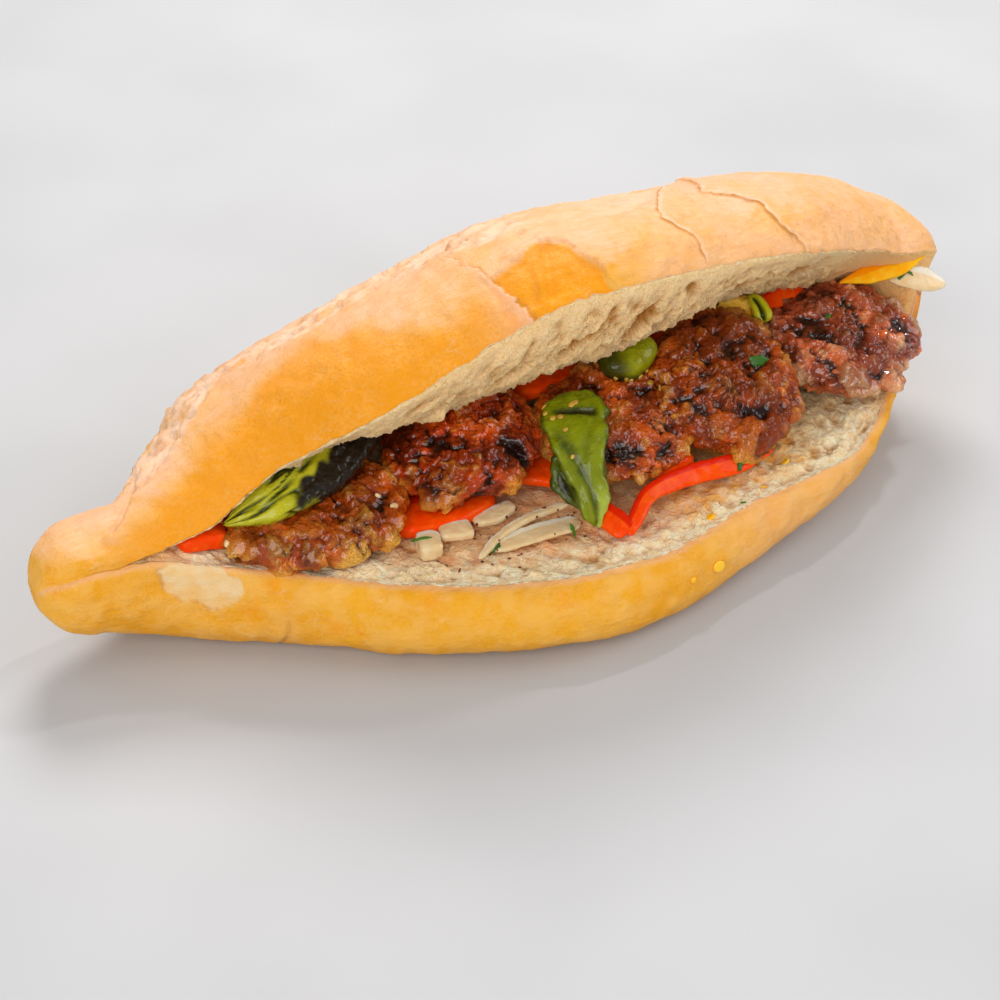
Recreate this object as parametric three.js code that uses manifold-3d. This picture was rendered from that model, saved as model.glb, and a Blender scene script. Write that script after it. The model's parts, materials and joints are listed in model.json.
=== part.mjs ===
// Kofta sandwich: a pointed white loaf slit along its front, opened like a shell on the hinge of
// crust at its back, and filled with a row of grilled patties, green peppers, tomato and onion.
//
// Frame, in millimetres: +X runs along the loaf from its round knob to its blunt tip, -Y is the
// open front, +Z is up. The loaf stands on its flat bottom at z = 0, with the origin under its middle.
import * as THREE from 'three';
import { mergeVertices } from 'three/addons/utils/BufferGeometryUtils.js';
import Module from 'manifold-3d';

const wasm = await Module();
wasm.setup();

// ---------------------------------------------------------------- driving dimensions

const GAP = 0.35; // air kept between two pieces that touch

// Both ends of the loaf: where its rounding starts, how long it is, and what it closes on.
const KNOB_END = { start: -147, length: 17, y: 3, z: 29.5 };
const TIP_END = { start: 138, length: 23, y: 4, z: 49 };
const TIP_LEAN = { from: 80, above: 0.2, below: 0.45 }; // the lid overhangs the base at the tip
const TIP_UNDERCUT = { from: 130, below: 0.5 }; // and its rounded end leans further
const END_STATIONS = 5;
const END_OPEN = 0.03; // share of an end's rounding that its last flat facets close
const STATION_STEP = 10.5;

// Facets of the loaf's section.
const FACETS = { front: 3, corner: 5, flat: 4, arch: 12, lidCrumb: 6, baseCrumb: 5 };

// Sizes of the loaf's section along its length, each given at a few stations [x, value].
const FRONT_WIDTH = curve([[-147, 13.5], [-133, 15], [-115, 22], [-100, 30.5], [-88, 39], [-70, 52.5],
  [-50, 63], [-30, 72], [-8, 78], [12, 76.5], [26, 73.5], [40, 69.5], [56, 65.5], [76, 61],
  [94, 55.6], [108, 50.8], [120, 44.6], [130, 36.8], [138, 31], [150, 27], [161, 25]]);
const BACK_WIDTH = curve([[-147, 19], [-133, 20.5], [-120, 32], [-104, 44], [-88, 50], [-60, 57],
  [-30, 61], [0, 62], [30, 62], [60, 59], [90, 55], [115, 46.5], [128, 41.5], [138, 39], [150, 38],
  [161, 37.5]]);
const BOTTOM_HEIGHT = curve([[-147, 12], [-133, 6.5], [-115, 1], [-100, 0], [30, 0], [55, 0.8],
  [75, 1.6], [95, 3.4], [110, 5.6], [124, 8.4], [138, 11.2], [150, 13.2], [161, 15]]);
const BELLY_HEIGHT = curve([[-147, 29], [-115, 15], [-80, 13], [40, 13], [90, 20], [138, 28],
  [150, 29.5], [161, 30]]);
const BOTTOM_ROUND = curve([[-147, 13], [-115, 19], [-80, 21], [35, 21], [56, 26], [95, 32], [123, 28],
  [138, 20], [150, 17], [161, 15]]);
const CUT_HEIGHT = curve([[-147, 39.5], [-136, 39.5], [-113, 34.5], [-90, 30], [-66, 28], [-30, 26.5],
  [20, 26], [90, 26.5], [138, 30], [150, 30.8], [161, 31]]);
const LIP_INSET = curve([[-147, 3], [-115, 4], [-90, 9], [-70, 9.6], [-50, 9.6], [-30, 11], [-8, 11],
  [12, 8.4], [40, 8.4], [56, 7], [76, 4.2], [94, 2.3], [108, 4], [120, 5], [130, 5.6], [138, 6.6],
  [150, 6.6], [161, 6.4]]);
// How far the lid's lip lies behind the base's while the slit is shut.
const LID_SHORT = curve([[76, 0], [94, 1], [110, 4], [123, 4.2], [133, 1.8], [138, -0.5], [150, -3.6],
  [161, -5.4]]);
const DOME_HEIGHT = curve([[-147, 7], [-137, 10], [-128, 16], [-120, 21.5], [-104, 29], [-88, 32.5],
  [-64, 34.5], [-40, 36.5], [-15, 37.5], [10, 37], [60, 35.5], [90, 38], [103, 38.3], [115, 37.2],
  [130, 33.6], [138, 30.6], [150, 25.4], [161, 22]]);
const HINGE_Y = curve([[-147, -9], [-136, -7], [-124, 1], [-113, 8], [-104, 18], [-90, 28],
  [-66, 38], [-45, 42], [-25, 45], [0, 47], [30, 47], [60, 45], [90, 38], [105, 33], [120, 28],
  [138, 23], [150, 21.5], [161, 21]]);
const OPENING = curve([[-147, 0], [-139, 3], [-133, 12], [-124, 21], [-113, 28], [-104, 31],
  [-90, 35], [-66, 36.5], [-45, 39], [-25, 41], [0, 42.5], [45, 42], [90, 42.5], [125, 44],
  [138, 44]]);
const SLIT_DEPTH = curve([[-147, 0.25], [-140, 0.6], [-132, 1], [126, 1], [140, 0.55], [152, 0.2]]);
// How far the lid's crumb hangs below the line from lip to hinge, as a share of that line.
const LID_CRUMB_SAG = curve([[-110, 0.02], [-75, 0.03], [-55, 0.07], [-35, 0.1], [0, 0.115], [35, 0.1],
  [65, 0.055], [90, 0.015], [138, 0]]);
const DOME_POWER = 2.25; // superellipse power of the lid's arch, 2 would be a plain ellipse
const DOME_START = 0.13; // share of the arch that is folded down into the back of the base
const DOME_STEP_IN = 3; // how far the lid's back stands in from the base's
const BACK_FOLD = 0.5; // depth of the crease between them
const CRUMB_SWELL = 0.6; // draws the deepest part of the lid's crumb towards its lip
const BASE_DISH = 1.2; // how far the base's crumb is pressed in by its filling
const HINGE_RISE = 1.5; // height of the slit's inner end over the cut
const LIP_GAP = 0.3; // half the height of the slit where it is shut

// How fillings are rounded: powers of a superellipse's sine and cosine, 1 being a plain ellipse.
const LUMP_RIM = 0.55;
const LUMP_FACE = 0.8;
const STRIP_EDGE = 0.5;
const STRIP_END = 0.35; // least share of its size that a strip keeps at its ends
const UNEVEN = [[2, 0.05], [3, 0.035], [5, 0.025]]; // a lump's outline: waves around it, height as a share
const RIPPLE = { waves: 3, height: 0.045 }; // a lump's faces, height as a share of its thickness
const PATTY_FACETS = { around: 24, up: 9 };
const SMALL_FACETS = { around: 14, up: 8 };
const STRIP_FACETS = { around: 8, perPoint: 3 };

// Round lumps: middle, length along X, depth along Y, thickness, then tilt (back edge up) and roll
// (right edge down) in degrees; seed only sets how their outline is uneven.
const PATTIES = [
  { x: -79, y: -8, z: 36.6, length: 55, depth: 52, thick: 15, tilt: 3, roll: 0, seed: 1.7 },
  { x: -28, y: -9, z: 43.5, length: 50, depth: 45, thick: 15, tilt: 12, roll: -9, seed: 4.1 },
  { x: 21, y: -21, z: 42.5, length: 46, depth: 45, thick: 15, tilt: 15, roll: -4, seed: 2.9 },
  { x: 60, y: -24, z: 46, length: 51, depth: 50, thick: 16, tilt: 21, roll: 0, seed: 5.3 },
  { x: 111, y: -15, z: 42.5, length: 52, depth: 46, thick: 15, tilt: 15, roll: -2, seed: 3.4 },
];
const PEPPER_LUMPS = [
  { x: 32, y: -9, z: 57, length: 20, depth: 17, thick: 10, tilt: 20, roll: 0, seed: 0.8 },
  { x: 79, y: 1, z: 54, length: 15, depth: 11, thick: 8, tilt: 25, roll: 0, seed: 2.2 },
];

// Strips and slices: the way they run as [x, y, z, width, thickness], and the way their face looks.
const FACE_UP = [0, 0, 1];
const FACE_OUT = [-0.3, -0.6, 0.75];
const PEPPER_STRIPS = [
  { face: FACE_OUT, blunt: 3, path: [[-108, -11, 43, 6, 4], [-95, -13, 47, 13, 7], [-80, -11, 50.5, 17, 8],
    [-64, -6, 54, 15, 8], [-49, 0, 58, 9, 5]] },
  { face: FACE_OUT, blunt: 9, path: [[4.5, -16, 55.5, 15, 4], [2.5, -26, 54.5, 20, 4],
    [-0.5, -34.5, 51.5, 18, 4], [-2, -42, 45.5, 12, 4], [-2.5, -47.5, 38.5, 9.5, 4],
    [-3.5, -51, 31, 8, 3.5]] },
  { face: FACE_OUT, blunt: 3, path: [[85.5, 0.5, 58.5, 4, 4], [85.6, -5, 57, 5, 4], [85, -10, 53.5, 8, 6]] },
];
const YELLOW_STRIP = { face: FACE_OUT, blunt: 3, path: [[119, -4, 55.5, 2.5, 2], [131, -5.5, 56.5, 7, 2.5],
  [141, -7, 58.5, 8.5, 2.5], [151.5, -9, 61.5, 4, 2]] };
const TOMATO_STRIPS = [
  { face: FACE_UP, blunt: 8, path: [[-122, -8, 39.5, 9, 5], [-114, -8, 38.8, 9, 6],
    [-106.5, -9, 37.5, 8, 6]] },
  { face: FACE_UP, blunt: 8, path: [[-58, -18, 31, 18, 5], [-42, -22, 31, 18, 5], [-24, -18, 31, 18, 5]] },
  { face: FACE_UP, blunt: 8, path: [[-25, -14, 36, 16, 4], [-11, -18, 34.5, 17, 4], [2, -26, 33, 16, 4]] },
  { face: FACE_OUT, blunt: 8, path: [[-2, -43, 33, 7, 2.5], [1, -50, 32, 8, 2.5], [4, -58, 30, 8, 2.5]] },
  { face: FACE_OUT, blunt: 6, path: [[3.5, -58.5, 29.6, 6, 2.5], [9.5, -54, 32, 5, 2.5],
    [17, -49, 34, 5.5, 2.5], [33, -47, 34, 6.5, 2.5], [49, -48, 33.5, 7, 2.5], [65, -46, 32, 3.5, 2.5]] },
  { face: FACE_UP, blunt: 5, path: [[26, -38, 32, 9, 7], [32, -37, 32, 10, 8], [40, -36, 32, 9, 7]] },
  { face: FACE_UP, blunt: 8, path: [[-2, 6, 45, 10, 5], [14, 5, 46, 12, 5], [30, 6, 46.5, 10, 5]] },
  { face: FACE_OUT, blunt: 8, path: [[46, 4, 47, 12, 5], [58, 4, 49, 14, 5], [70, 6, 49, 12, 5]] },
  { face: FACE_OUT, blunt: 8, path: [[92, 5, 49, 10, 5], [103, 5, 50, 12, 5], [114, 7, 50, 10, 5]] },
];
const ONION_STRIPS = [
  { face: FACE_UP, blunt: 9, path: [[-56, -34, 30.5, 10, 6], [-52, -35, 30.5, 10, 6],
    [-48.5, -36, 30.5, 8, 5]] },
  { face: FACE_UP, blunt: 12, path: [[-47, -31, 31, 8, 3], [-42, -33, 31.2, 8.5, 3],
    [-37, -34, 30.5, 8, 3]] },
  { face: FACE_UP, blunt: 8, path: [[-35, -30, 30, 6, 2.5], [-28, -31, 30.2, 7, 2.5],
    [-20, -29, 30.5, 5, 2.5]] },
  { face: FACE_UP, blunt: 8, path: [[-41, -46, 28.8, 2.5, 2], [-30, -40, 29.8, 2.8, 2],
    [-19.5, -37.5, 30.5, 2.8, 2], [-5, -38, 31, 2.5, 2]] },
  { face: FACE_UP, blunt: 9, path: [[-35, -43.5, 28.3, 5, 1.8], [-21, -43, 28.5, 8, 1.8],
    [-5, -44.5, 28.5, 7, 1.8]] },
  { face: FACE_OUT, blunt: 4, path: [[137, -6, 54, 6, 2], [147, -9.5, 52.3, 9, 1.8],
    [157, -13.5, 48.5, 5, 1.6]] },
  { face: FACE_UP, blunt: 5, path: [[-15, 3, 45, 8, 4], [-8, 2, 46, 9, 4], [-3, 2, 46, 8, 4]] },
];

// ---------------------------------------------------------------- helpers

/** A smooth curve through points [x, value] that never overshoots them. */
function curve(points) {
  const slopes = points.slice(1).map(([x, v], i) => (v - points[i][1]) / (x - points[i][0]));
  const tangents = points.map((_, i) => {
    const before = slopes[i - 1] ?? slopes[0];
    const after = slopes[i] ?? slopes.at(-1);
    return before * after <= 0 ? 0 : (2 * before * after) / (before + after);
  });
  return (x) => {
    if (x <= points[0][0]) return points[0][1];
    if (x >= points.at(-1)[0]) return points.at(-1)[1];
    const i = points.findIndex(([start]) => start > x) - 1;
    const span = points[i + 1][0] - points[i][0];
    const t = (x - points[i][0]) / span;
    const rise = points[i + 1][1] - points[i][1];
    return points[i][1] + rise * t * t * (3 - 2 * t)
      + span * t * (1 - t) * (tangents[i] * (1 - t) - tangents[i + 1] * t);
  };
}

/** Numbers from 0 to 1 in equal steps, with both ends unless told otherwise. */
function steps(count, from = 0, to = count) {
  return Array.from({ length: to - from + 1 }, (_, i) => (from + i) / count);
}

/** Closed surface through a row of rings of equally many points, each end drawn to its middle. */
function loft(rings) {
  const size = rings[0].length;
  const middle = (ring) => ring.reduce((sum, p) => sum.add(p), new THREE.Vector3()).divideScalar(size);
  const points = [...rings.flat(), middle(rings[0]), middle(rings.at(-1))];
  const faces = [];
  for (let r = 0; r < rings.length - 1; r += 1) {
    for (let i = 0; i < size; i += 1) {
      const j = (i + 1) % size;
      const [a, b, c, d] = [r * size + i, r * size + j, (r + 1) * size + i, (r + 1) * size + j];
      faces.push(a, b, d, a, d, c);
    }
  }
  const last = (rings.length - 1) * size;
  for (let i = 0; i < size; i += 1) {
    const j = (i + 1) % size;
    faces.push(points.length - 2, j, i);
    faces.push(points.length - 1, last + i, last + j);
  }
  const geometry = new THREE.BufferGeometry().setFromPoints(points);
  geometry.setIndex(faces);
  return geometry;
}

// ---------------------------------------------------------------- bread

/** The loaf's section at x as a ring of [y, z]; clearance thickens only its crumb faces. */
function breadSection(x, clearance = 0) {
  const front = FRONT_WIDTH(x);
  const back = BACK_WIDTH(x);
  const bottom = BOTTOM_HEIGHT(x);
  const cut = CUT_HEIGHT(x);
  const inset = LIP_INSET(x);
  const opening = THREE.MathUtils.degToRad(OPENING(x));
  const belly = BELLY_HEIGHT(x);
  const round = BOTTOM_ROUND(x);
  const hinge = [HINGE_Y(x), cut + HINGE_RISE];
  const swing = ([y, z]) => {
    const [dy, dz] = [y - hinge[0], z - hinge[1]];
    return [hinge[0] + dy * Math.cos(opening) + dz * Math.sin(opening),
      hinge[1] - dy * Math.sin(opening) + dz * Math.cos(opening)];
  };
  const corner = (side, width, t) => [side * (width - round + round * Math.cos(t)),
    belly - (belly - bottom) * Math.sin(t)];

  const ring = [];
  const shut = -front + inset + LID_SHORT(x);
  // Front of the base, from its lip down to the belly.
  for (const s of steps(FACETS.front)) {
    const t = (1 - s) * Math.PI / 2;
    const lift = s === 0 ? clearance - LIP_GAP : 0;
    ring.push([-front + inset * (1 - Math.cos(t)), belly + (cut - belly) * Math.sin(t) + lift]);
  }
  for (const s of steps(FACETS.corner, 1)) ring.push(corner(-1, front, s * Math.PI / 2));
  const flat = [-(front - round), back - round];
  for (const s of steps(FACETS.flat, 1, FACETS.flat - 1)) {
    ring.push([flat[0] + (flat[1] - flat[0]) * s, bottom]);
  }
  for (const s of steps(FACETS.corner)) ring.push(corner(1, back, (1 - s) * Math.PI / 2));

  const middle = (back - DOME_STEP_IN + shut) / 2;
  const half = (back - DOME_STEP_IN - shut) / 2;
  const arch = (u) => {
    const [c, s] = [Math.cos(u * Math.PI), Math.sin(u * Math.PI)];
    return swing([middle + half * Math.sign(c) * Math.abs(c) ** (2 / DOME_POWER),
      cut + LIP_GAP + DOME_HEIGHT(x) * Math.abs(s) ** (2 / DOME_POWER)]);
  };
  const shoulder = arch(DOME_START);
  ring.push([(back + shoulder[0]) / 2 - BACK_FOLD, (belly + shoulder[1]) / 2]);
  for (const s of steps(FACETS.arch)) ring.push(arch(DOME_START + (1 - DOME_START) * s));

  const lidLip = ring.at(-1);
  const baseLip = ring[0];
  const reach = Math.hypot(hinge[0] - lidLip[0], hinge[1] - lidLip[1]);
  const down = [-Math.sin(opening), -Math.cos(opening)];
  const inner = [];
  // Crumb of the lid, from its lip in to the hinge.
  for (const v of steps(FACETS.lidCrumb, 1, FACETS.lidCrumb - 1)) {
    const sag = reach * LID_CRUMB_SAG(x) * Math.sin(Math.PI * v ** CRUMB_SWELL) + clearance;
    inner.push([lidLip[0] + (hinge[0] - lidLip[0]) * v + down[0] * sag,
      lidLip[1] + (hinge[1] - lidLip[1]) * v + down[1] * sag]);
  }
  inner.push([hinge[0] - clearance, hinge[1]]);
  // Crumb of the base, from the hinge out to its lip.
  for (const v of steps(FACETS.baseCrumb, 1, FACETS.baseCrumb - 1)) {
    inner.push([hinge[0] + (baseLip[0] - hinge[0]) * v,
      hinge[1] + (baseLip[1] - hinge[1]) * v - (1 - v) * BASE_DISH + clearance]);
  }
  const depth = SLIT_DEPTH(x);
  inner.forEach(([y, z], i) => {
    const v = (i + 1) / (inner.length + 1);
    const skin = [lidLip[0] + (baseLip[0] - lidLip[0]) * v, lidLip[1] + (baseLip[1] - lidLip[1]) * v];
    ring.push([skin[0] + (y - skin[0]) * depth, skin[1] + (z - skin[1]) * depth]);
  });
  return ring;
}

/** The loaf; clearance thickens its crumb faces, for cutting fillings that lie against them. */
function bread(clearance = 0) {
  const rings = [];
  const add = (x, scale, end) => {
    const lean = THREE.MathUtils.smoothstep(x, TIP_LEAN.from, TIP_END.start);
    const undercut = THREE.MathUtils.smoothstep(x, TIP_UNDERCUT.from, TIP_END.start + TIP_END.length);
    const below = TIP_LEAN.below * lean + TIP_UNDERCUT.below * undercut;
    rings.push(breadSection(x, clearance).map(([y, z]) => {
      const height = (z - end.z) * scale;
      const slope = z > end.z ? TIP_LEAN.above * lean : below;
      return new THREE.Vector3(x + height * slope, end.y + (y - end.y) * scale, end.z + height);
    }));
  };
  for (const s of steps(END_STATIONS, 0, END_STATIONS - 1)) {
    const a = (END_OPEN + s * (1 - END_OPEN)) * Math.PI / 2;
    add(KNOB_END.start - KNOB_END.length * Math.cos(a), Math.sin(a), KNOB_END);
  }
  const span = TIP_END.start - KNOB_END.start;
  for (const s of steps(Math.round(span / STATION_STEP))) {
    const x = KNOB_END.start + span * s;
    add(x, 1, x > 0 ? TIP_END : KNOB_END);
  }
  for (const s of steps(END_STATIONS, 1)) {
    const a = (1 - s * (1 - END_OPEN)) * Math.PI / 2;
    const x = TIP_END.start + TIP_END.length * Math.cos(a);
    add(x, Math.sin(a), TIP_END);
  }
  return loft(rings);
}

// ---------------------------------------------------------------- fillings

/** A round lump: a thick disc with a round rim, its outline and faces uneven. */
function lump({ x, y, z, length, depth, thick, tilt, roll, seed }, extra = 0, facets = PATTY_FACETS) {
  const rings = [];
  for (const s of steps(facets.up, 1, facets.up - 1)) {
    const lift = (s - 0.5) * Math.PI;
    const rim = Math.cos(lift) ** LUMP_RIM;
    const height = Math.sign(lift) * Math.abs(Math.sin(lift)) ** LUMP_FACE;
    rings.push(steps(facets.around, 0, facets.around - 1).map((t) => {
      const a = t * 2 * Math.PI;
      const uneven = UNEVEN.reduce((sum, [waves, share], i) => (
        sum + share * Math.sin(waves * a + (i + 1) * seed)), 1);
      const ripple = RIPPLE.height * thick * Math.sin(RIPPLE.waves * a + seed) * rim * height;
      return new THREE.Vector3(
        (length / 2 + extra) * uneven * rim * Math.cos(a),
        (depth / 2 + extra) * uneven * rim * Math.sin(a),
        (thick / 2 + extra) * height + ripple,
      );
    }));
  }
  const geometry = loft(rings);
  geometry.rotateX(THREE.MathUtils.degToRad(tilt));
  geometry.rotateY(THREE.MathUtils.degToRad(roll));
  geometry.translate(x, y, z);
  return geometry;
}

/** A strip or slice: a rounded flat section carried along its path, its ends drawn in. */
function strip({ face, blunt, path }, extra = 0) {
  const middle = new THREE.CatmullRomCurve3(path.map(([x, y, z]) => new THREE.Vector3(x, y, z)));
  const sizes = [3, 4].map((k) => curve(path.map((p, i) => [i / (path.length - 1), p[k]])));
  const stations = STRIP_FACETS.perPoint * (path.length - 1);
  const rings = steps(stations).map((t) => {
    const along = middle.getTangent(t);
    const side = new THREE.Vector3(...face).cross(along).normalize();
    const out = along.clone().cross(side);
    const drawn = Math.max(STRIP_END, Math.sqrt(1 - Math.abs(2 * t - 1) ** blunt));
    const end = along.clone().multiplyScalar(extra * (t === 1 ? 1 : 0) - extra * (t === 0 ? 1 : 0));
    return steps(STRIP_FACETS.around, 0, STRIP_FACETS.around - 1).map((s) => {
      const a = (s + 0.5 / STRIP_FACETS.around) * 2 * Math.PI;
      const [c, d] = [Math.cos(a), Math.sin(a)];
      return middle.getPoint(t).add(end)
        .addScaledVector(side, (sizes[0](t) / 2 * drawn + extra) * Math.sign(c) * Math.abs(c) ** STRIP_EDGE)
        .addScaledVector(out, (sizes[1](t) / 2 * drawn + extra) * Math.sign(d) * Math.abs(d) ** STRIP_EDGE);
    });
  });
  return loft(rings);
}

// ---------------------------------------------------------------- cutting and joining

/** A geometry as a solid that can be cut. */
function toSolid(geometry) {
  const welded = mergeVertices(geometry, 1e-4);
  return new wasm.Manifold(new wasm.Mesh({
    numProp: 3,
    vertProperties: new Float32Array(welded.attributes.position.array),
    triVerts: new Uint32Array(welded.index.array),
  }));
}

/** A solid as a three.js geometry. */
function toGeometry(solid) {
  const mesh = solid.getMesh();
  const geometry = new THREE.BufferGeometry();
  geometry.setAttribute('position', new THREE.BufferAttribute(mesh.vertProperties, 3));
  geometry.setIndex(new THREE.BufferAttribute(mesh.triVerts, 1));
  return geometry;
}

/** The largest of the bodies that a cut leaves. */
function mainBody(solid) {
  return solid.decompose().reduce((best, body) => (body.volume() > best.volume() ? body : best));
}

// ---------------------------------------------------------------- assembly

const sandwich = new THREE.Group();
const cutters = [toSolid(bread(GAP))]; // what has its place already, each a gap larger than it is

/** Adds a named piece; a filling gives way to everything that was placed before it. */
function place(name, shape, size, colour, roughness) {
  const solid = cutters.reduce((rest, cutter) => rest.subtract(cutter), toSolid(shape(size)));
  const material = new THREE.MeshStandardMaterial({ color: colour, roughness, metalness: 0 });
  const mesh = new THREE.Mesh(toGeometry(mainBody(solid)), material);
  mesh.name = name;
  sandwich.add(mesh);
  cutters.push(toSolid(shape(size, GAP)));
}

const loaf = new THREE.Mesh(bread(), new THREE.MeshStandardMaterial({ color: 0xe9b25a, roughness: 0.7 }));
loaf.name = 'bread';
sandwich.add(loaf);

const smallLump = (size, extra) => lump(size, extra, SMALL_FACETS);
PATTIES.forEach((size, i) => place(`kofta_${i + 1}`, lump, size, 0x6b2d16, 0.45));
PEPPER_STRIPS.forEach((size, i) => place(`pepper_${i + 1}`, strip, size, 0x6f9a24, 0.35));
place('pepper_4', smallLump, PEPPER_LUMPS[0], 0x7fa52c, 0.35);
place('pepper_5', smallLump, PEPPER_LUMPS[1], 0xd8a32a, 0.35);
place('yellow_strip', strip, YELLOW_STRIP, 0xf59a1a, 0.3);
TOMATO_STRIPS.forEach((size, i) => place(`tomato_${i + 1}`, strip, size, 0xe8401a, 0.3));
ONION_STRIPS.forEach((size, i) => place(`onion_${i + 1}`, strip, size, 0xe9dccb, 0.3));

export default sandwich;
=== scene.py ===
"""Kofta sandwich: a pointed white loaf, slit and opened like a shell, filled with grilled patties, green
peppers, tomato and onion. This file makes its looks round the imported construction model.

Shapes are worked out in millimetres in the loaf's own frame (+X along the loaf to its blunt tip, -Y the
open front, +Z up), and each mesh is turned to metres as it is made.
"""
import json
import logging
import math
from collections.abc import Callable, Iterable
from dataclasses import dataclass, field
from enum import Enum
from itertools import product

import bpy
import numpy as np
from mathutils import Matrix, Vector
from mathutils.bvhtree import BVHTree

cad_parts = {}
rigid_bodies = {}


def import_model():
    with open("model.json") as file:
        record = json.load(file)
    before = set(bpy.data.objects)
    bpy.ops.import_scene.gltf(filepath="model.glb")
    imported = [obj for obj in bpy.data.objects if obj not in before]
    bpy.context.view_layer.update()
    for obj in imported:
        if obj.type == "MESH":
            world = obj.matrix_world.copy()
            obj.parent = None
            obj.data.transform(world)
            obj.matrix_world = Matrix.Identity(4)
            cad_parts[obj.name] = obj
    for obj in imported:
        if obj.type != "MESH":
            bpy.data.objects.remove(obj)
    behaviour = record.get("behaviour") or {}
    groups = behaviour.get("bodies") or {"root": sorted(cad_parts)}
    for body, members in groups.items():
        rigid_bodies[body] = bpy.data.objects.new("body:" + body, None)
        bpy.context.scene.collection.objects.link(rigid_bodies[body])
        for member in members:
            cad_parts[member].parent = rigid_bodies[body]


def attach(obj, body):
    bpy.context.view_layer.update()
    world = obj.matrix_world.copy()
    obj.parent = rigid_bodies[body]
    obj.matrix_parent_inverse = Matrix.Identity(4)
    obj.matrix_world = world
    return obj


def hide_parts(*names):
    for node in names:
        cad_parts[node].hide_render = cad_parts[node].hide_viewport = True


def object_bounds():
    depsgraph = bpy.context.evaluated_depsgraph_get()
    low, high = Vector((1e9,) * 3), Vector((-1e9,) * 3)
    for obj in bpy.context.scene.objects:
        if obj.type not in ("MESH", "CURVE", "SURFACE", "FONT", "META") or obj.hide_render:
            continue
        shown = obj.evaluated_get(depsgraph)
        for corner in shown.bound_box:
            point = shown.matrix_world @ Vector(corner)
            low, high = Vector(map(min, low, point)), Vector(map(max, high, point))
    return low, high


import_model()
CAD_BOX = [list(corner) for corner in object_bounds()]

Array = np.ndarray
Node = bpy.types.Node
Socket = bpy.types.NodeSocket
Triple = tuple[float, float, float]
Coat = tuple[str, Socket] | tuple[str, Socket, float]

MM = 0.001  # a millimetre in the scene's metres
TINY = 1e-9
LUMP_RIM = 0.55  # below 1, a lump's rim is fuller than round
LUMP_FACE = 0.8  # and its faces are flatter
STRIP_EDGE = 0.5  # below 1, a strip's section is squarer than round
log = logging.getLogger("kofta_sandwich")


class Slot(Enum):
    """The record's material slots that the pieces take their finish from."""

    CRUST = "crust"
    CRUMB = "crumb"
    MEAT = "grilled_meat"
    GREEN_PEPPER = "green_pepper"
    YELLOW_PEPPER = "roast_yellow_pepper"
    TOMATO = "tomato"
    ONION = "onion"
    PARSLEY = "parsley"
    SPICE = "spice"
    OIL = "oil"


class Face(Enum):
    """The way the broad face of a strip or slice looks."""

    UP = (0.0, 0.0, 1.0)
    OUT = (-0.3, -0.6, 0.75)


# ---- numbers


def paint(code: str) -> tuple[float, float, float, float]:
    """The linear red, green and blue, and full opacity, of an sRGB hex colour such as "#E9B25A"."""
    shares = [int(code[i : i + 2], 16) / 255 for i in (1, 3, 5)]
    linear = [s / 12.92 if s <= 0.04045 else ((s + 0.055) / 1.055) ** 2.4 for s in shares]
    return (linear[0], linear[1], linear[2], 1.0)


def ramp(value: Array, start: float, end: float) -> Array:
    """Rises smoothly from 0 where the value is start to 1 where it is end, which may be the lower one."""
    share = np.clip((value - start) / (end - start), 0, 1)
    return share * share * (3 - 2 * share)


def unit(vectors: Array) -> Array:
    """Vectors along the last axis, each brought to a length of 1."""
    return vectors / np.maximum(np.linalg.norm(vectors, axis=-1, keepdims=True), TINY)


def fuller(share: Array, power: float) -> Array:
    """Shares from -1 to 1 raised to a power, each with its own sign."""
    return np.sign(share) * np.abs(share) ** power


def even_shares(path: Callable[[Array], Array], count: int) -> Array:
    """Shares from 0 to 1, both among them, that cut a path into pieces of equal length.

    Args:
        path: gives the points of the path for shares from 0 to 1.
        count: how many shares.
    """
    steps = 2000
    fine = np.linspace(0, 1, steps + 1)
    points = path(fine)
    length = np.concatenate([[0], np.cumsum(np.linalg.norm(np.diff(points, axis=0), axis=1))])
    return np.interp(np.linspace(0, length[-1], count), length, fine)


def walk(paths: Array) -> Array:
    """The way walked along each row of points up to each of them, 0 at the row's first."""
    steps = np.linalg.norm(np.diff(paths, axis=1), axis=-1)
    return np.concatenate([np.zeros((len(paths), 1)), np.cumsum(steps, axis=1)], axis=1)


def bump(away: Array, width: float) -> Array:
    """1 where away is 0, and less the further it is from that, in widths."""
    return np.exp(-((away / width) ** 2))


class Profile:
    """A smooth curve through (place, value) pairs that never overshoots them."""

    def __init__(self, *pairs: tuple[float, float]) -> None:
        """Works out the slope at each pair.

        Args:
            pairs: places in rising order, each with its value.
        """
        self.places, self.values = np.array(pairs, float).T
        slopes = np.diff(self.values) / np.diff(self.places)
        before, after = np.append(slopes[0], slopes), np.append(slopes, slopes[-1])
        turning = before * after <= 0
        total = np.where(turning, 1.0, before + after)
        self.slopes = np.where(turning, 0.0, 2 * before * after / total)

    def __call__(self, place: Array) -> Array:
        """The curve's value at each place. It is level past both ends."""
        place = np.clip(np.asarray(place, float), self.places[0], self.places[-1])
        i = np.clip(np.searchsorted(self.places, place, side="right") - 1, 0, len(self.places) - 2)
        span = self.places[i + 1] - self.places[i]
        rise = self.values[i + 1] - self.values[i]
        t = (place - self.places[i]) / span
        bend = self.slopes[i] * (1 - t) - self.slopes[i + 1] * t
        return self.values[i] + rise * t * t * (3 - 2 * t) + span * t * (1 - t) * bend


# Numbers that stir a cell's place into one that looks like chance, the same on every run.
PRIMES = np.array([73856093, 19349663, 83492791], dtype=np.int64)
SALT_STEP = 1013904223
STIRS = ((13, 1274126177), (15, 2246822519))
MASK = 0x7FFFFFFF
LOW = 0xFFFF


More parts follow.
